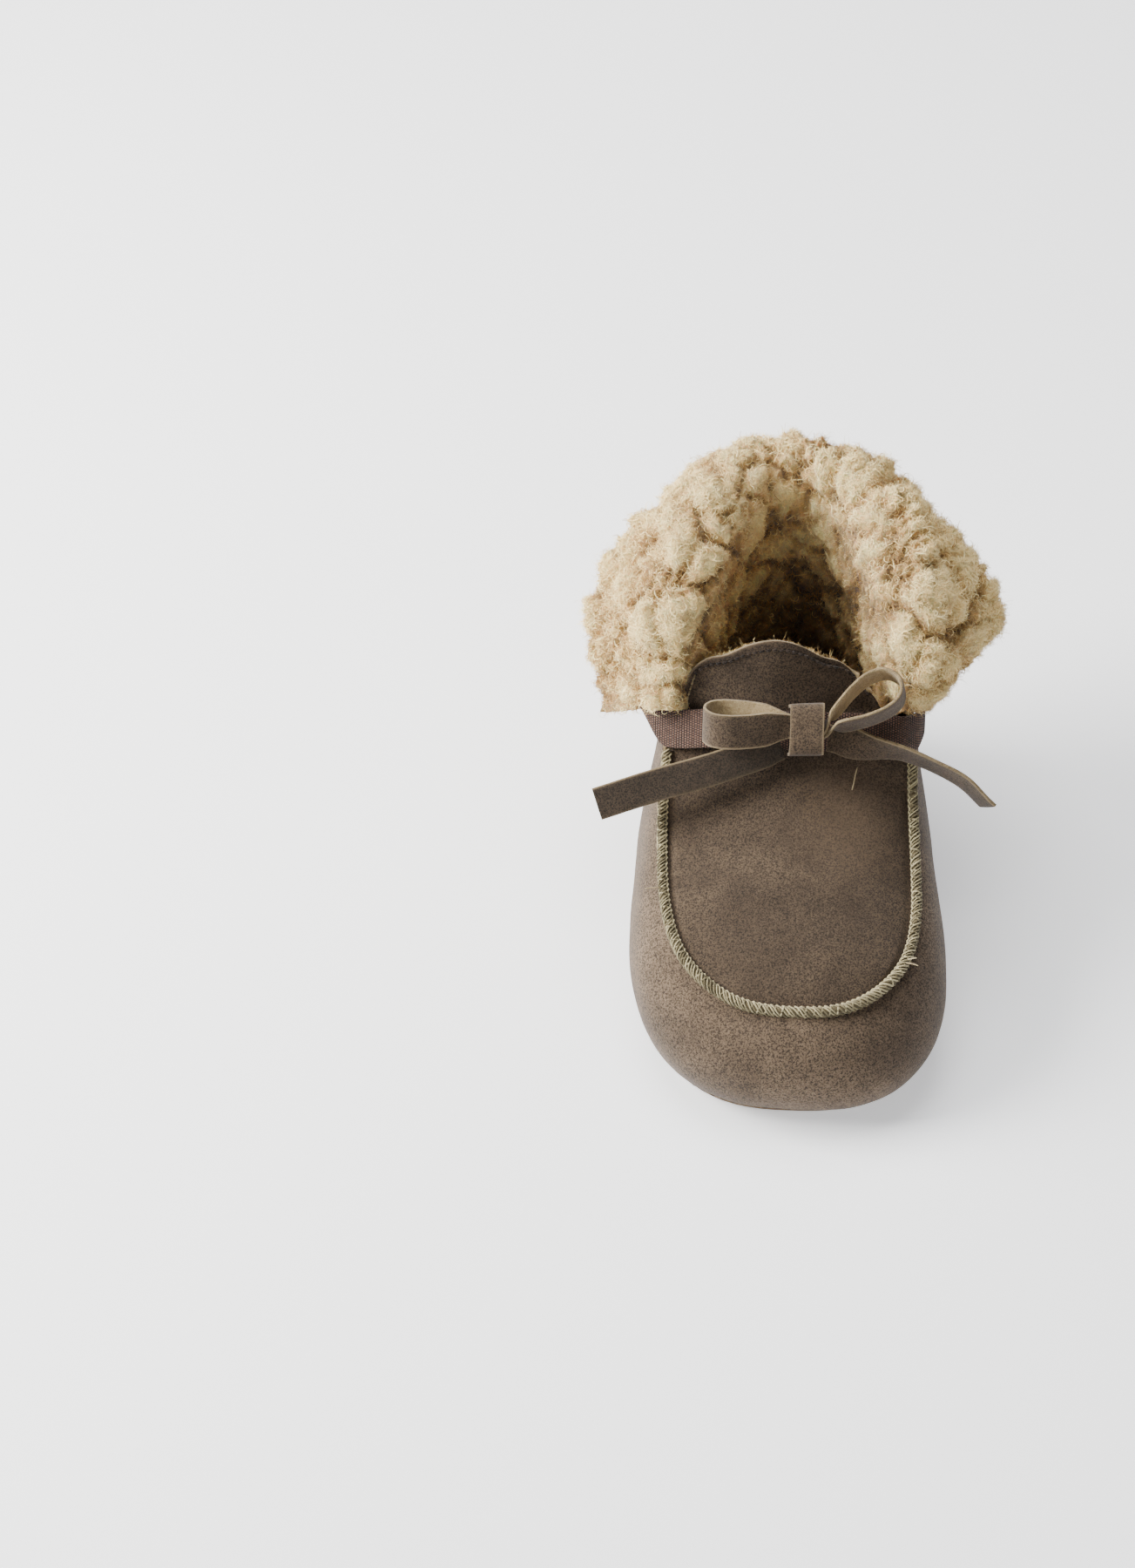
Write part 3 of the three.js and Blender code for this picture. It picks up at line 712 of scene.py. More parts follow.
def clumps(points, large=9.0, seed=1):
    """How high the pile stands at each point, from about -1 to 1, and its tone, paler on the clumps and darker
    in the creases as painted light and shade.
    """
    warp = np.stack([ripples(points, 6.5, seed + k) for k in (1, 2, 3)], -1) * 3.2
    warp += np.stack([ripples(points, 2.2, seed + k) for k in (4, 5, 6)], -1) * 0.9
    near, following, tag = cells(points + warp, large, seed + 1)
    near2, _, tag2 = cells(points + warp * 0.8, large * 0.45, seed + 2)
    near3, _, _ = cells(points + warp * 0.5, large * 0.2, seed + 3)
    big, small, tiny = [1 - np.clip(away / 0.9, 0, 1) ** 2 for away in (near, near2, near3)]
    crease = np.exp(-(((following - near) / 0.22) ** 2))
    curl = 1 - 2 * np.abs(ripples(points + warp * 1.4, 2.8, seed + 7))
    lock = 1 - 2 * np.abs(ripples(points + warp * 1.1, 1.5, seed + 8))
    height = big * 1.05 - crease * 0.45 + small * 0.5 + tiny * 0.22 + curl * 0.34 + lock * 0.16 - 1.0
    height += (tag - 0.5) * 0.5
    # The tone is painted light and shade: raised on the clump tops and lowered in the creases, with a random
    # shift from clump to clump.
    tone = 0.1 + big * 0.32 + small * 0.24 + tiny * 0.16 + curl * 0.14 + lock * 0.08 - crease * 0.34
    tone += (tag2 - 0.5) * 0.2
    return height, np.clip(tone, 0, 1)


def fluff(name, skin, amount, looks, body, seed, length=(1.6, 3.4), lift=0.45, loose=0.12, weight=None,
          half_width=(0.045, 0.085), curls=3.6, steps=5, tone=None):
    """Loose curling fibres over a grid of points: amount of them in each look, the first look where the tone is
    pale and the last in its creases, so the fibres follow the tone's painted light and shade."""
    rng = np.random.default_rng(seed)
    normals = -skin_normals(skin)
    corner = skin[:-1, :-1]
    area = np.linalg.norm(np.cross(skin[1:, :-1] - corner, skin[:-1, 1:] - corner), axis=-1)
    if weight is not None:
        area = area * weight[:-1, :-1]
    made = []
    for number, look in enumerate(looks):
        choice = area
        if tone is not None:
            pale = tone[:-1, :-1]
            choice = area * (pale**2, 0.15 + pale, (1.05 - pale) ** 3)[number]
        chance = (choice / choice.sum()).ravel()
        place = rng.choice(len(chance), amount, p=chance)
        i, j = np.unravel_index(place, area.shape)
        a, b = rng.uniform(0, 1, (2, amount, 1))
        root = lerp(lerp(skin[i, j], skin[i + 1, j], a), lerp(skin[i, j + 1], skin[i + 1, j + 1], a), b)
        out = normals[i, j]
        first = unit(np.cross(out, np.array([0.31, 0.22, 0.93])))
        second = np.cross(out, first)
        heading = ripples(root, 2.6, seed + 9) * 5.0 + rng.normal(0, 0.6, amount)
        curl = rng.normal(0, curls, amount)
        size = rng.uniform(*length, amount)
        stray = rng.uniform(0, 1, amount) < loose
        share = np.linspace(0, 1, steps + 1)
        turn = heading[:, None] + curl[:, None] * share
        way = np.cos(turn)[..., None] * first[:, None] + np.sin(turn)[..., None] * second[:, None]
        level = np.where(stray[:, None], share * 0.9, np.sin(share * math.pi) * lift) * size[:, None] - 0.15
        stride = (size / (steps + 1))[:, None, None]
        spine = root[:, None] + (np.cumsum(way, axis=1) - way[:, :1]) * stride + out[:, None] * level[..., None]
        across = unit(np.cross(way, out[:, None]))
        half = (rng.uniform(*half_width, amount)[:, None] * (1 - 0.55 * share))[..., None]
        points = np.stack([spine - across * half, spine + across * half], 2).reshape(-1, 3)
        start = (np.arange(amount)[:, None] * (steps + 1) + np.arange(steps)).ravel() * 2
        faces = np.stack([start, start + 1, start + 3, start + 2], 1)
        made.append(build(f"{name}_{number}", points, faces, [look], body))
    return made


# --- sole


def plate(name, grow, bottom, thickness, looks, rounding, body="boot", relief=None):
    """A sole-shaped plate with rounded rims, its rings closing in towards the middle of both faces."""
    angles = np.linspace(0, 360, 241)[:-1]
    turn = np.linspace(-90, 90, 9)
    rings = [(inset, -1) for inset in (-20, -14, -8, -4)]
    rims = [(rounding * (math.cos(math.radians(t)) - 1), math.sin(math.radians(t))) for t in turn]
    rings = rings + rims + [(inset, 1) for inset in (-4, -8, -14, -20)]
    middle, half = bottom + thickness / 2, thickness / 2
    skin = np.stack([
        outline(angles, grow + inset, grow + inset, middle + level * half) for inset, level in rings
    ], 1)
    if relief is not None:
        skin = skin + relief(skin)
    rows, columns = skin.shape[:2]
    points = list(skin.reshape(-1, 3))
    faces = grid_faces(rows, columns, True).tolist()
    for column in (0, columns - 1):
        points.append(skin[:, column].mean(0))
        hub = len(points) - 1
        for i in range(rows):
            a, b = i * columns + column, ((i + 1) % rows) * columns + column
            faces.append([hub, b, a] if column else [hub, a, b])
    made = build(name, points, faces, looks, body, tone=np.full(len(points), 0.15))
    normal = made.data.polygons[len(faces) - 1].normal
    if normal.z < 0:
        made.data.flip_normals()
    return made


outsole = plate("sole_leather", -1.7, 0, OUTSOLE, [sole_suede], 0.8,
                relief=lambda p: point(0, 0, ripples(p, 9, 2) * 0.12 * (p[..., 2] > 0.5)))
settle(outsole, "sole", "outsole")
settle(plate("sole_foam", -3.2, FOAM_BOTTOM, FOAM, [foam_look], 1.0), "foam", "midsole_foam")


def tufted(points):
    """Raises the insole's top face into soft low clumps."""
    height, _ = clumps(points, 7.0, 41)
    return point(0, 0, (height * 0.9 - 0.2) * (points[..., 2] > INSOLE_TOP - 0.3))


# The flat tone of 0.15 that plate() gives paints the whole insole dark: painted shade at the bottom of the
# shoe.
insole = plate("insole_pile", -1.8, INSOLE_BOTTOM, INSOLE, [lining_wool_painted_shade], 1.2, relief=tufted)
settle(insole, "fleece", "insole_fleece")

# --- wall

A, V = grid(np.linspace(0, 360, 541)[:-1], np.linspace(0, 1, 52))
wall_v = V * wrap_top(from_toe(A))
wall = wrap_face(A, wall_v)
wall_out = normal_of(wrap_face, A, wall_v)
front = 1 - ease(from_toe(A), 84, 98)
# The leather is drawn in a little along the apron's seam and gathered there round the toe.
beside_seam = ease(wall_v, 0.72, 0.98) * front
gathers = np.sin(np.radians(A) * 58 + ripples(wall, 9, 5) * 2.2) * (1 - ease(from_toe(A), 40, 75))
heel_groove = np.exp(-(((from_toe(A) - 180) * 0.42 / 0.8) ** 2))
relief = (
    ripples(wall, 19, 6) * 0.55
    + ripples(wall, 7, 7) * 0.16
    - beside_seam * 0.35
    + beside_seam * gathers * 0.06
)
heel_band = np.exp(-(((from_toe(A) - 180) / 13) ** 2))
relief = relief * ease(V, 0, 0.08) * (1 - 0.85 * heel_band) - heel_groove * 0.3
wall = wall + wall_out * relief[..., None]
wrap_looks = [wrap_leather, raw_leather, raw_leather]
wrap = sheet_piece("wall_leather", wall, wall - wall_out * LEATHER * 0.92, wrap_looks, "boot", loop=True,
                   edge=np.exp(-V * 26) * 0.6)
settle(wrap, "leather", "side_wrap")

HEEL_ROW_ANGLE = 3.6

# Saddle stitches run round the groove over the sole, and down both sides of the heel seam.
sole_line = lambda share: outline(share * 360, -0.95, -0.95, OUTSOLE + 0.3)
shares = spaced(sole_line, 2.3)
line = sole_line(shares)
sideways = unit(point(line[:, 0] - swing(line[:, 1]), line[:, 1] * 0.6, 0))
stitches = dashes(line, sideways, 1.6, 0.2)
sole_stitches = tube_piece("sole_stitches", stitches, [0.17] * len(stitches), sole_thread, "boot", seed=3)
settle(sole_stitches, "thread", "sole_stitching")

heel_rows = []
for angle in (180 - HEEL_ROW_ANGLE, 180 + HEEL_ROW_ANGLE):
    _, at, out = on_track(wrap_face, lambda share: (np.full_like(share, angle), lerp(0.07, 0.6, share)), 2.1)
    heel_rows.append(dashes(at - out * 0.1, out, 1.5, 0.18))
heel_rows = np.concatenate(heel_rows)
heel = tube_piece("heel_stitches", heel_rows, [0.2] * len(heel_rows), dark_thread, "boot", seed=4)
settle(heel, "thread", "heel_seam")

# --- apron and tongue, one piece of leather


def vamp_face(s, run):
    """The apron for run 0 to 1 and the tongue for run 1 to 2, eased into each other at the hinge line."""
    s, run = np.broadcast_arrays(np.asarray(s, float), np.asarray(run, float))
    apron = apron_face(s * 0.985, lerp(APRON_FRONT, APRON_BACK - 0.5, np.clip(run, 0, 1)))
    behind = tongue_face(s, np.clip(run - 1, 0, 1))
    return lerp(apron, behind, ease(run, 0.975, 1.09)[..., None])


rows_s = np.sin(np.linspace(-1, 1, 121) * math.pi / 2 * 0.98) / math.sin(math.pi / 2 * 0.98)
rows_run = np.concatenate([np.linspace(0, 0.96, 150), np.linspace(0.965, 1.1, 26), np.linspace(1.108, 2, 62)])
S, R = grid(rows_s, rows_run)
vamp = vamp_face(S, R)
vamp_out = skin_normals(vamp)
if vamp_out[60, 100, 2] < 0:
    vamp_out = -vamp_out
dents = ripples(vamp, 16, 11) * 0.5 + ripples(vamp, 6, 12) * 0.14
rim = ease(np.abs(S), 0.9, 1) * (1 - ease(R, 0.9, 1.0))
front_rim = 1 - ease(R, 0, 0.05)
# The seam pulls the apron's rim down; the tongue's own edge curls very slightly outwards.
edge_in = np.maximum(rim, front_rim)
tongue_edge = np.maximum(ease(np.abs(S), 0.86, 1), ease(R, 1.86, 2)) * ease(R, 1.1, 1.3)
vamp = vamp + vamp_out * (dents * (1 - edge_in) - edge_in * 0.45 + tongue_edge * 0.25)[..., None]
# A soft paler patch on the apron's upper right, mixed in with the edge wear: painted light.
painted_light_patch = np.exp(-(((S - 0.45) / 0.36) ** 2) - ((R - 0.86) / 0.15) ** 2) * 0.42
vamp_wear_and_painted_light = np.maximum(tongue_edge**10 * 0.8 * (1 - ease(S, -0.2, 0.3)), edge_in * 0.2) + painted_light_patch
vamp_depth = LEATHER * 0.9 * (1 - 0.45 * tongue_edge)
leather_vamp = sheet_piece("apron_and_tongue", vamp, vamp - vamp_out * vamp_depth[..., None],
                           [apron_leather, raw_leather, cut_leather], edge=vamp_wear_and_painted_light)
settle(leather_vamp, "leather", "apron", "tongue")
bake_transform(leather_vamp)


def tongue_track(share):
    """Where the tongue's stitches run, 1.8 mm inside its edge: from its left foot over the top to its right."""
    x = np.clip(share, 0, 1) * 4 - 2
    return np.clip(x, -0.9, 0.9), 1.895 - np.maximum(np.abs(x) - 0.9, 0) / 1.1 * 0.78


places, at, out = on_track(vamp_face, tongue_track, 1.35)
shown = places < 0.86
places, at, out = places[shown], at[shown], out[shown]
out = out * np.sign(out[:, 1:2]) * -1
stitches = dashes(at + out * 0.18, out, 1.05, 0.3)
low_left = places < 0.25
for tint, chosen, look in (("dark", ~low_left, dark_thread), ("pale", low_left, pale_thread)):
    radii = [0.25] * chosen.sum()
    row = tube_piece(f"tongue_stitches_{tint}", stitches[chosen], radii, look, "tongue_flap", seed=5)
    settle(row, "thread")
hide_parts("tongue_stitching")

# --- overlocked seam

SEAM_ANGLE = 92.5
SEAM_LIFT = 0.4
WRAP_PITCH = 0.8
LOOPER_PITCH = 1.24


def seam_frame(angle):
    """The middle of the seam's ridge with its upward and sideways directions, sideways towards the wall."""
    side = np.where(angle < 0, -1.0, 1.0)
    wrap_out = normal_of(wrap_face, angle, np.full_like(angle, 0.999))
    apron_out = normal_of(apron_face, side, np.maximum(np.abs(angle), 8))
    apron_out = apron_out * np.sign(apron_out[..., 2:])
    up = unit(wrap_out + apron_out)
    along = unit(top_edge(angle + 0.05) - top_edge(angle - 0.05))
    across = unit(np.cross(along, up))
    return top_edge(angle) + up * SEAM_LIFT, up, across


fine = np.linspace(-SEAM_ANGLE, SEAM_ANGLE, 4000)
track, _, _ = seam_frame(fine)
run = run_along(track)


def round_seam(distance, turn, reach, squash=1.0):
    """Points round the ridge at distances along it: turn 0 is its top, a quarter turn its side at the wall."""
    centre, up, across = seam_frame(np.interp(distance, run, fine))
    rise, spread = np.cos(turn) * reach, np.sin(turn) * reach * squash
    return centre + up * rise[..., None] + across * spread[..., None]


rng = np.random.default_rng(8)
wraps = []
begin = np.arange(1.2, run[-1] - 1.2, WRAP_PITCH)
begin = begin + rng.normal(0, 0.07, len(begin))
for lean, swell in ((1.5, 1.0), (-0.5, 0.92)):
    share = np.linspace(-1, 1, 9)
    distance = begin[:, None] + share * lean + rng.normal(0, 0.05, (len(begin), 1))
    reach = (0.96 + rng.normal(0, 0.06, (len(begin), 1))) * swell
    wraps.append(round_seam(distance, share * math.radians(118) + math.radians(6), reach, 0.95))
    begin = begin[::2] + 0.3
wrapped = np.concatenate(wraps)
radii = rng.uniform(0.13, 0.2, len(wrapped))
settle(tube_piece("seam_wraps", wrapped, radii, overlock_thread, "boot", 5, 9), "overlock")

# The ridge under the wraps reaches further down than up, into the gap between the two leathers.
ridge_line = np.linspace(0.4, run[-1] - 0.4, 420)[:, None]
turn = np.linspace(0, 2 * math.pi, 15)[:-1]
knobs = ripples(round_seam(ridge_line, turn, np.ones_like(turn)), 1.2, 13)
grip = 1 + 0.8 * np.maximum(-np.cos(turn), 0)
ridge = round_seam(ridge_line, turn, grip * (0.8 + 0.08 * knobs)).swapaxes(0, 1)
rows, count = ridge.shape[:2]
first = np.arange(rows) * count
faces = grid_faces(rows, count, True).tolist() + [first[::-1].tolist(), (first + count - 1).tolist()]
# The core gets the thread's darkest tone: painted shade in the gaps between the wraps.
core = build("seam_core", ridge.reshape(-1, 3), faces, [overlock_thread], "boot",
             tone=np.full(rows * count, -0.9))
settle(core, "overlock", "apron_seam")

# Two looper threads chain along the ridge's sides.
chains = []
for turn_at, phase in ((-96, 0.0), (100, 1.4)):
    line = np.arange(0.8, run[-1] - 0.8, 0.16)
    weave = line * 2 * math.pi / LOOPER_PITCH + phase
    chains.append(round_seam(line, np.radians(turn_at + 13 * np.sin(weave)), 1.02 + 0.1 * np.cos(weave)))
chain = tube_piece("seam_loopers", np.stack(chains), [0.18, 0.18], overlock_thread, "boot", 6, 10)
settle(chain, "overlock")


def loose_end(root, way, length, sag, seed):
    """A thread end that leaves root along way and droops."""
    share = np.linspace(0, 1, 12)
    made = np.array(root) + unit(np.array(way, float)) * (share * length)[:, None]
    made = made + point(0, 0, -sag * share**2)
    return made + ripples(made, 1.4, seed)[:, None] * np.array([0.12, 0.1, 0.1]) * share[:, None]


ends = []
for angle, way, length in ((43, (1, -0.5, 0.5), 3), (44.5, (1, -0.1, 0.7), 2.2),
                           (-66, (-1, -0.2, 0.25), 3.4), (-55, (-0.5, -0.6, 0.7), 1.8)):
    centre, up, _ = seam_frame(np.array([float(angle)]))
    ends.append(loose_end(centre[0] + up[0] * 1.1, way, length, 0.5, len(ends)))
flat_end = np.linspace(0, 1, 12)
on_apron = vamp_face(0.56 - 0.05 * flat_end, 0.955 - 0.045 * flat_end)
ends.append(on_apron + point(0, -0.35, 0.45) + ripples(on_apron, 1.2, 3)[:, None] * 0.12)
tails = tube_piece("seam_thread_ends", np.stack(ends), [0.13] * len(ends), pale_thread, "boot", 5, 12)
settle(tails, "overlock")

# --- cuff

angles = np.linspace(CUFF_START, CUFF_END, 300)
A, W = grid(angles, np.linspace(0.0, 1.035, 60))
middle = cuff_middle(A, W)
out = normal_of(cuff_middle, A, W)
middle = middle + out * (ripples(middle, 15, 21) * 0.3)[..., None]
hem = ease(W, 0.96, 1.035)
backing = sheet_piece("cuff_leather", middle + out * LEATHER / 2, middle - out * LEATHER / 2,
                      wrap_looks, "boot", edge=hem)
settle(backing, "leather", "cuff_backing")

# The pile runs in one skin from the insole up the inside of the wall, over the fold and down the cuff.
angles = np.linspace(CUFF_START - 0.6, CUFF_END + 0.6, 430)
A, V = grid(angles, np.linspace(LINING_FOOT, 0.95, 98))
inside = lining_face(A, V)
A2, W = grid(angles, np.linspace(0.0, 1.0, 128))
cuff_out = -normal_of(cuff_middle, A2, W)
held = lerp(inner_pile(from_toe(A2)), 1, np.minimum(W / 0.2, 1))
stand = LEATHER / 2 + LINING_GAP + cuff_pile(from_toe(A2)) * held
ends_in = ease(A2 - angles[0], 0, 6.5) * ease(angles[-1] - A2, 0, 8)
hem_in = 1 - ease(W, 0.86, 1.0) ** 2
rounded = np.sqrt(np.clip(ends_in, 0, 1)) * np.sqrt(np.clip(hem_in, 0, 1))
outside = cuff_middle(A2, W) + cuff_out * lerp(LEATHER / 2 + 0.25, stand, rounded)[..., None]
skin = np.concatenate([inside, outside[:, 3:]], 1)
full = np.concatenate([np.ones_like(V), rounded[:, 3:]], 1)
for _ in range(6):
    skin[:, 1:-1] = (skin[:, :-2] + skin[:, 1:-1] * 2 + skin[:, 2:]) / 4
even = skin.copy()
for _ in range(260):
    even[1:-1] = (even[:-2] + even[1:-1] * 2 + even[2:]) / 4
at_heel = (1 - ease(np.abs(angles - 180), 14, 34))[:, None, None]
skin = lerp(skin, even, at_heel)
normals = skin_normals(skin)
if (normals[:, -60] * cuff_out[:, -60]).sum() < 0:
    normals = -normals
height, tone = clumps(skin, 9.5, 22)
in_shoe = np.concatenate([np.ones_like(V), 1 - ease(W, 0.0, 0.3)[:, 3:]], 1)
amount = lerp(2.55, 1.35, in_shoe) * (0.45 + 0.55 * full)
pile = skin + normals * (height * amount)[..., None]
# The pile is painted darker the lower it lies, a darker brown deep in the shoe: painted shade for the depth of
# the shoe.
tone = np.clip(tone * 1.35 - 0.14, 0, 1) * lerp(0.04, 1, ease(pile[..., 2], 26, 66))
rows, count = pile.shape[:2]
faces = grid_faces(rows, count)
cuff = build("cuff_pile", pile.reshape(-1, 3), faces, [cream_wool], "boot", tone=tone.ravel())
settle(cuff, "fleece", "cuff_fleece", "side_lining")
seen = lerp(1.0, 0.3, in_shoe) * ease(pile[..., 2], 30, 50)
fluff("cuff_curls", pile, 9000, fibre_looks, "boot", 31, (1.8, 3.6), 0.16, 0, seen, (0.06, 0.11), 6, 7, tone)
fluff("cuff_fibres", pile, 19500, fibre_looks, "boot", 32, (1.2, 2.8), 0.32, 0.1, seen, (0.03, 0.06), tone=tone)

A, V = grid(np.linspace(-103, 103, 260), np.linspace(0, 1, 40))
V = lerp(LINING_FOOT, lining_top(from_toe(A)), V)
inner = lining_face(A, V)
inward = -normal_of(wrap_face, A, V)
height, tone = clumps(inner, 7.5, 24)
inner = inner + inward * (height * 1.0)[..., None]
# The toe lining's tone is scaled down to 0.3, painting it darker: painted shade deep in the toe.
lining = build("toe_lining", inner.reshape(-1, 3), grid_faces(260, 40), [lining_wool_painted_shade], "boot",
               tone=tone.ravel() * 0.3)
settle(lining, "fleece")

# --- linings of the apron and tongue


def backed_pile(name, face, us, vs, depth, thickness, body, nodes, seed, fibres=0):
    """A patch of pile on the back of a leather face, rounded off at its rims."""
    U, T = grid(us, vs)
    base = face(U, T)
    out = normal_of(face, U, T)
    out = out * np.where((out * point(0, -1, 1)).sum(-1, keepdims=True) < 0, -1, 1)
    shares = [np.linspace(0, 1, len(us)), np.linspace(0, 1, len(vs))]
    round_off = np.sqrt(np.outer(*[ease(share, 0, 0.12) * ease(1 - share, 0, 0.12) for share in shares]))
    height, tone = clumps(base, 7.0, seed)
    top = base - out * (depth + (thickness + height * 0.8) * (0.15 + 0.85 * round_off))[..., None]
    piece = sheet_piece(name, top, base - out * depth, [lining_wool_painted_shade] * 3, body, tone=tone)
    settle(piece, "fleece", *nodes)
    if fibres:
        fluff(name + "_fibres", top, fibres, fibre_looks, body, seed + 1)


backed_pile("tongue_pile", tongue_face, np.linspace(-0.84, 0.84, 90), np.linspace(0.12, 0.9, 60),
            LEATHER + 0.4, 2.6, "tongue_flap", ["tongue_lining"], 51, 1200)
backed_pile("apron_pile", apron_face, np.linspace(-0.8, 0.8, 100), np.linspace(34, 91, 90),
            LEATHER + 0.5, 2.9, "boot", ["apron_lining"], 53)

# --- strap and bow


def band(name, path, across, width, looks, steps, thickness=0.8, columns=13, body=None, waves=0.1,
         shares=(0, 1), outer=None, ribs=0.0, lower=None):
    """A flat band along a path: its outer face in the first look, its inner face and its edges in the others.
    across(share) is the direction of its width, outer(share) one that its outer face looks in, and
    lower(share) how far its lower edge is drawn up."""
    share = np.linspace(*shares, steps)
    spine = path(share)
    along = unit(path(np.minimum(share + 1e-4, 1)) - path(np.maximum(share - 1e-4, 0)))
    side = unit(np.broadcast_to(across(share), spine.shape))
    face = unit(np.cross(along, side))
    if outer is not None:
        way = np.sign((face * outer(share)).sum(-1))
        face = face * np.sign(way.sum() + 0.5)
    level = np.sin(np.linspace(-1, 1, columns) * math.pi / 2)
    half = (width(share) / 2)[:, None] * level
    if lower is not None:
        half = half + lower(share)[:, None] * (1 - level) / 2
    middle = spine[:, None] + side[:, None] * half[..., None]
    middle = middle + face[:, None] * (ripples(middle, 6, 61) * waves)[..., None]
    run = run_along(spine)
    thick = thickness / 2 * (1 - 0.28 * np.abs(level) ** 8) * np.ones((steps, 1))
    thick = thick + ribs * np.sin(run * 2 * math.pi / 0.62)[:, None]
    front = middle + face[:, None] * thick[..., None]
    back = middle - face[:, None] * thick[..., None]
    flat = np.stack([half, run[:, None] * np.ones_like(half), np.zeros_like(half)], -1)
    worn = np.maximum(np.abs(level) ** 14 * 0.4, ease(level, 0.87, 0.97)) * np.ones((steps, 1))
    return sheet_piece(name, front, back, looks, body, edge=worn, flat=flat)


ribbon_looks = [ribbon_leather, raw_leather, cut_leather]
STRAP_UP = 38.6
STRAP_WIDTH = 8.0
RIBBON_WIDTH = 7.4
STRAP_HALF = [(0, 36.9, 0), (9, 36.4, 0), (17, 34.9, 0), (23, 32.5, -0.3)]
KNOT_X = 3
BOW_UP = 38.8
BOW_OUT = 43.8
STRAP_LEFT_END = [(27.2, 30.4, 0.3), (30.6, 28, 1.8), (33, 25.4, 3.6)]
STRAP_RIGHT_END = [(25.8, 29.8, 0.3), (27.6, 26.6, 2.2), (28, 22.8, 4)]
strap_path = catmull(
    [instep(-x, out, STRAP_UP + rise) for x, out, rise in STRAP_LEFT_END[::-1] + STRAP_HALF[3:0:-1]]
    + [instep(x, out, STRAP_UP + rise) for x, out, rise in STRAP_HALF[:4] + STRAP_RIGHT_END]
)
for name, shares, side in (("elastic_left", (0, 0.53), -1), ("elastic_right", (0.53, 1), 1)):
    half = band(name, strap_path, lambda share: instep_up, lambda share: np.full_like(share, STRAP_WIDTH),
                [elastic_knit] * 3, 260, 1.0, 17, waves=0.12, shares=shares, outer=lambda share: instep_out,
                ribs=0.035, lower=lambda share: 6.6 * ease(np.abs(strap_path(share)[:, 0]), 25.5, 32.5))
    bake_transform(half)
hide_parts("elastic_strap")

LOOP_HALF = [(1.2, 0.72), (4.2, 0.8), (7.5, 2.1), (11, 3.5), (15, 4.1), (18, 3)]


def turned(vector, axis, angle):
    """vector turned about axis, for each angle."""
    angle = np.asarray(angle, float)[..., None]
    spun = np.cross(axis, vector)
    return vector * np.cos(angle) + spun * np.sin(angle) + axis * (axis @ vector) * (1 - np.cos(angle))


def ribbon_loop(name, start, along, twist, scale, gather, node):
    view = LOOP_HALF + [(19.3, 0)] + [(reach, -apart) for reach, apart in LOOP_HALF[::-1]]
    apart_way = lambda reach: turned(instep_out, along, twist * ease(reach, 0.5, 7))
    path = catmull([
        start + along * reach * scale + apart_way(np.float64(reach * scale)) * apart for reach, apart in view
    ])
    reach_at = lambda share: (path(share) - start) @ along
    piece = band(
        name, path,
        across=lambda share: np.cross(apart_way(reach_at(share)), along),
        width=lambda share: RIBBON_WIDTH * lerp(gather, 1, ease(reach_at(share), 2, 9)),
        looks=ribbon_looks, steps=190, body="bow", waves=0.16,
        outer=lambda share: path(share) - start - along * reach_at(share)[:, None],
    )
    settle(piece, "ribbon", node)


ribbon_loop("ribbon_loop_left", instep(KNOT_X, BOW_OUT - 0.3, BOW_UP + 0.6), np.array([-1.0, 0, 0]),
            math.radians(-25), 1.08, 0.6, "bow_loop_left")
tilt = math.radians(33)
ribbon_loop("ribbon_loop_right", instep(KNOT_X + 0.4, BOW_OUT - 0.3, BOW_UP - 1.7),
            np.array([math.cos(tilt), 0, 0]) + instep_up * math.sin(tilt), math.radians(-108), 1.14, 0.42,
            "bow_loop_right")

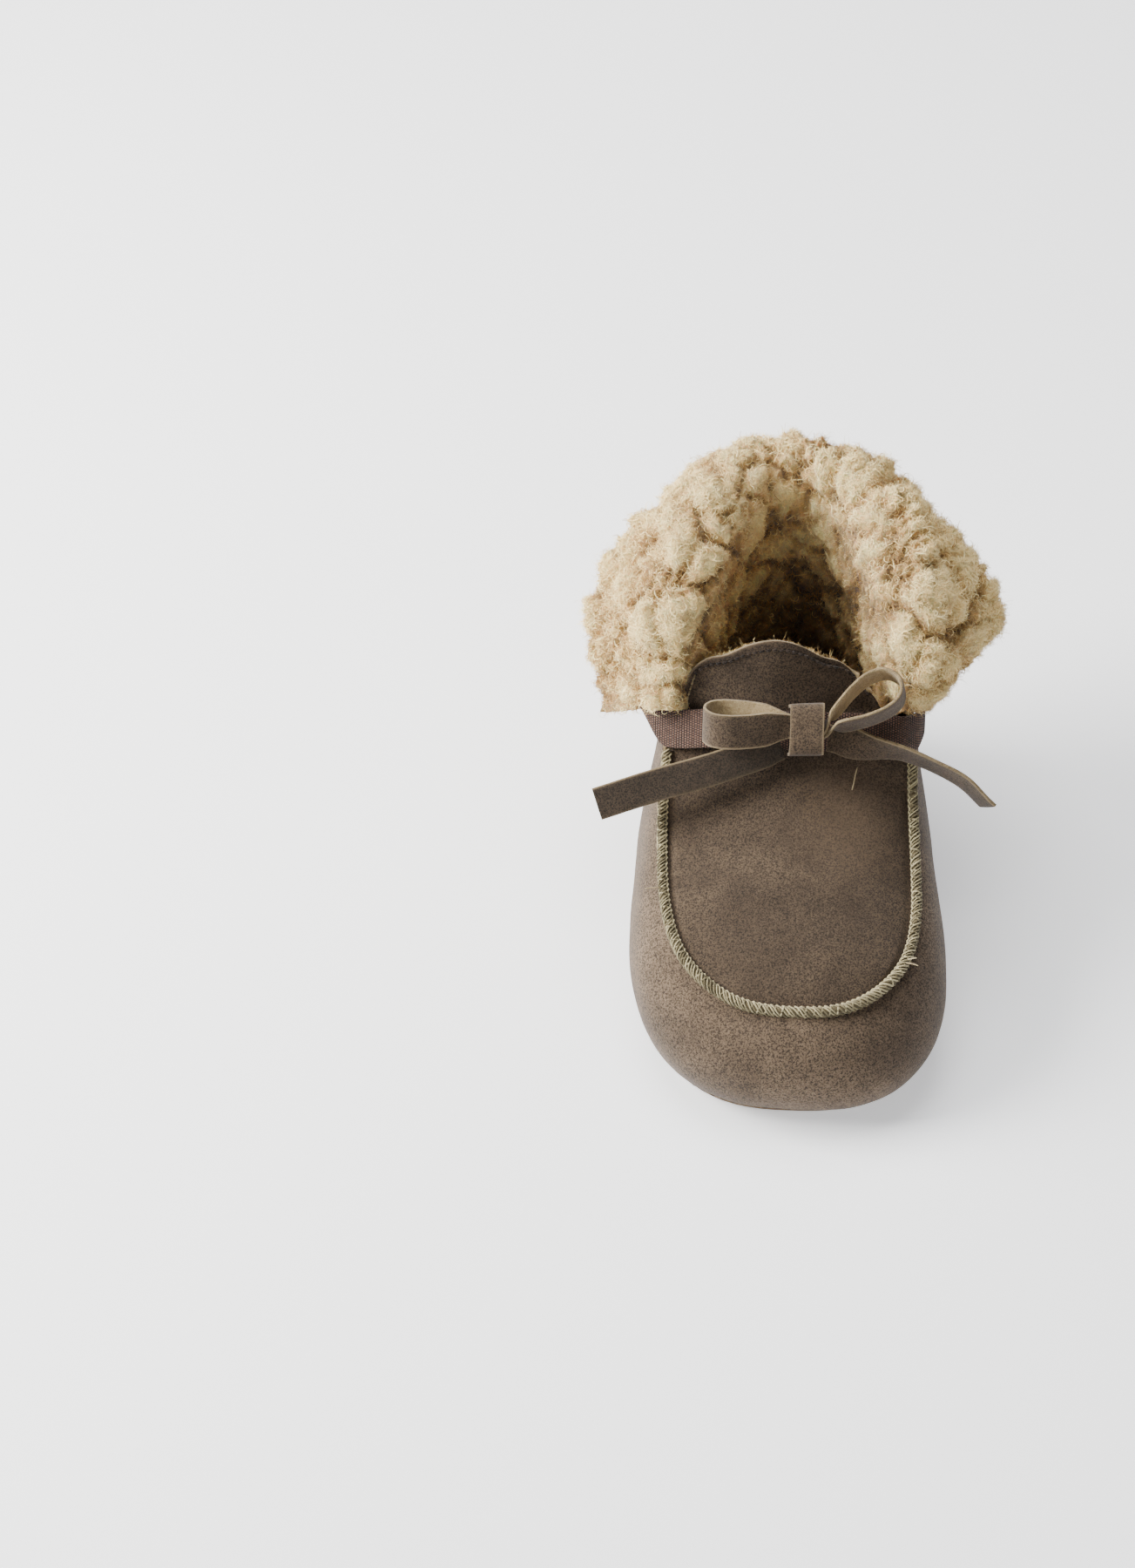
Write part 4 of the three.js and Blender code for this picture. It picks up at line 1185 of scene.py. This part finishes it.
TAILS = {
    "left": ([(-1.9, 38.3, 35.3), (-6, 38.3, 33.8), (-16, 38.4, 30.1), (-28, 38.4, 26.3),
              (-39.5, 38.2, 22.2)], 0),
    "right": ([(7.7, 38.8, 37.3), (11, 38.8, 36.8), (16, 38.9, 35.6), (23.5, 38.6, 34.4), (30.5, 37.6, 31.8),
               (36, 36.2, 28.9), (41.2, 34, 24.4)], math.radians(72)),
}
for side, (places, twist) in TAILS.items():
    path = catmull([instep(*place) for place in places])

    def across(share):
        turn = twist * ease(share, 0.05, 0.55)[:, None]
        upward = instep_up * np.cos(turn) + instep_out * np.sin(turn)
        along = unit(path(np.minimum(share + 1e-4, 1)) - path(np.maximum(share - 1e-4, 0)))
        return unit(upward - along * (upward * along).sum(-1, keepdims=True))

    looks = [shaded_ribbon if side == "left" else ribbon_leather, raw_leather, cut_leather]
    piece = band(f"ribbon_tail_{side}", path, across,
                 lambda share: RIBBON_WIDTH * (0.75 + 0.17 * ease(share, 0, 0.25)), looks, 170, waves=0.18,
                 outer=lambda share: instep_out)
    settle(piece, "ribbon", f"bow_tail_{side}")
    root, bend = path(np.array([0.0, 0.22])) / 1000
    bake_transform(piece)

KNOT_SECTION = [(38.6, -1), (42.5, -1), (45.2, -0.94), (46.2, -0.64), (46.4, 0), (46.2, 0.64), (45.2, 0.94),
                (42.5, 1), (38.6, 1)]
knot_path = catmull([instep(KNOT_X, out, BOW_UP + 4.95 * share) for out, share in KNOT_SECTION])
knot = band("ribbon_knot", knot_path, lambda share: np.array([1.0, 0.05, 0.05]),
            lambda share: RIBBON_WIDTH - 0.5 * np.sin(share * math.pi), [ribbon_leather] * 3, 120, 0.9,
            body="bow", waves=0.14, outer=lambda share: instep_out)
settle(knot, "ribbon", "bow_knot")

# --- CAD pieces that stay

bow_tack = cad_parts["bow_tack"]
bow_tack.data.materials.clear()
bow_tack.data.materials.append(dark_thread)

# Bar tacks in the strap's own colour hold its two ends down.
for name, share, side in (("left", 0.04, -1), ("right", 0.96, 1)):
    centre = strap_path(np.array([share]))[0]
    rows = [
        [centre + instep_up * up + np.array([side * (-0.3 - 0.5 * abs(step)), 0, 0]) + instep_out * step * 0.9
         for step in np.linspace(-1, 1, 5)]
        for up in np.linspace(2.8, 3.8, 3)
    ]
    tack = tube_piece(f"strap_end_stitches_{name}", rows, [0.18] * 3, mauve_thread, "boot", 5, 14)
    settle(tack, "thread", f"strap_tack_{name}")

floor_mesh = bpy.data.meshes.new("floor")
floor_mesh.from_pydata([(-4, -4, 0), (4, -4, 0), (4, 4, 0), (-4, 4, 0)], [], [(0, 1, 2, 3)])
floor = bpy.data.objects.new("floor", floor_mesh)
floor.location.z = -0.0004
bpy.context.scene.collection.objects.link(floor)
floor_look = Look("floor_paper", roughness=0.95, specular=0.1)
floor_look.shader.inputs["Base Color"].default_value = (0.955, 0.96, 0.975, 1)
floor_look.shader.inputs["Emission Color"].default_value = (0.97, 0.98, 1, 1)
floor_look.shader.inputs["Emission Strength"].default_value = 0.6
floor_mesh.materials.append(floor_look.material)
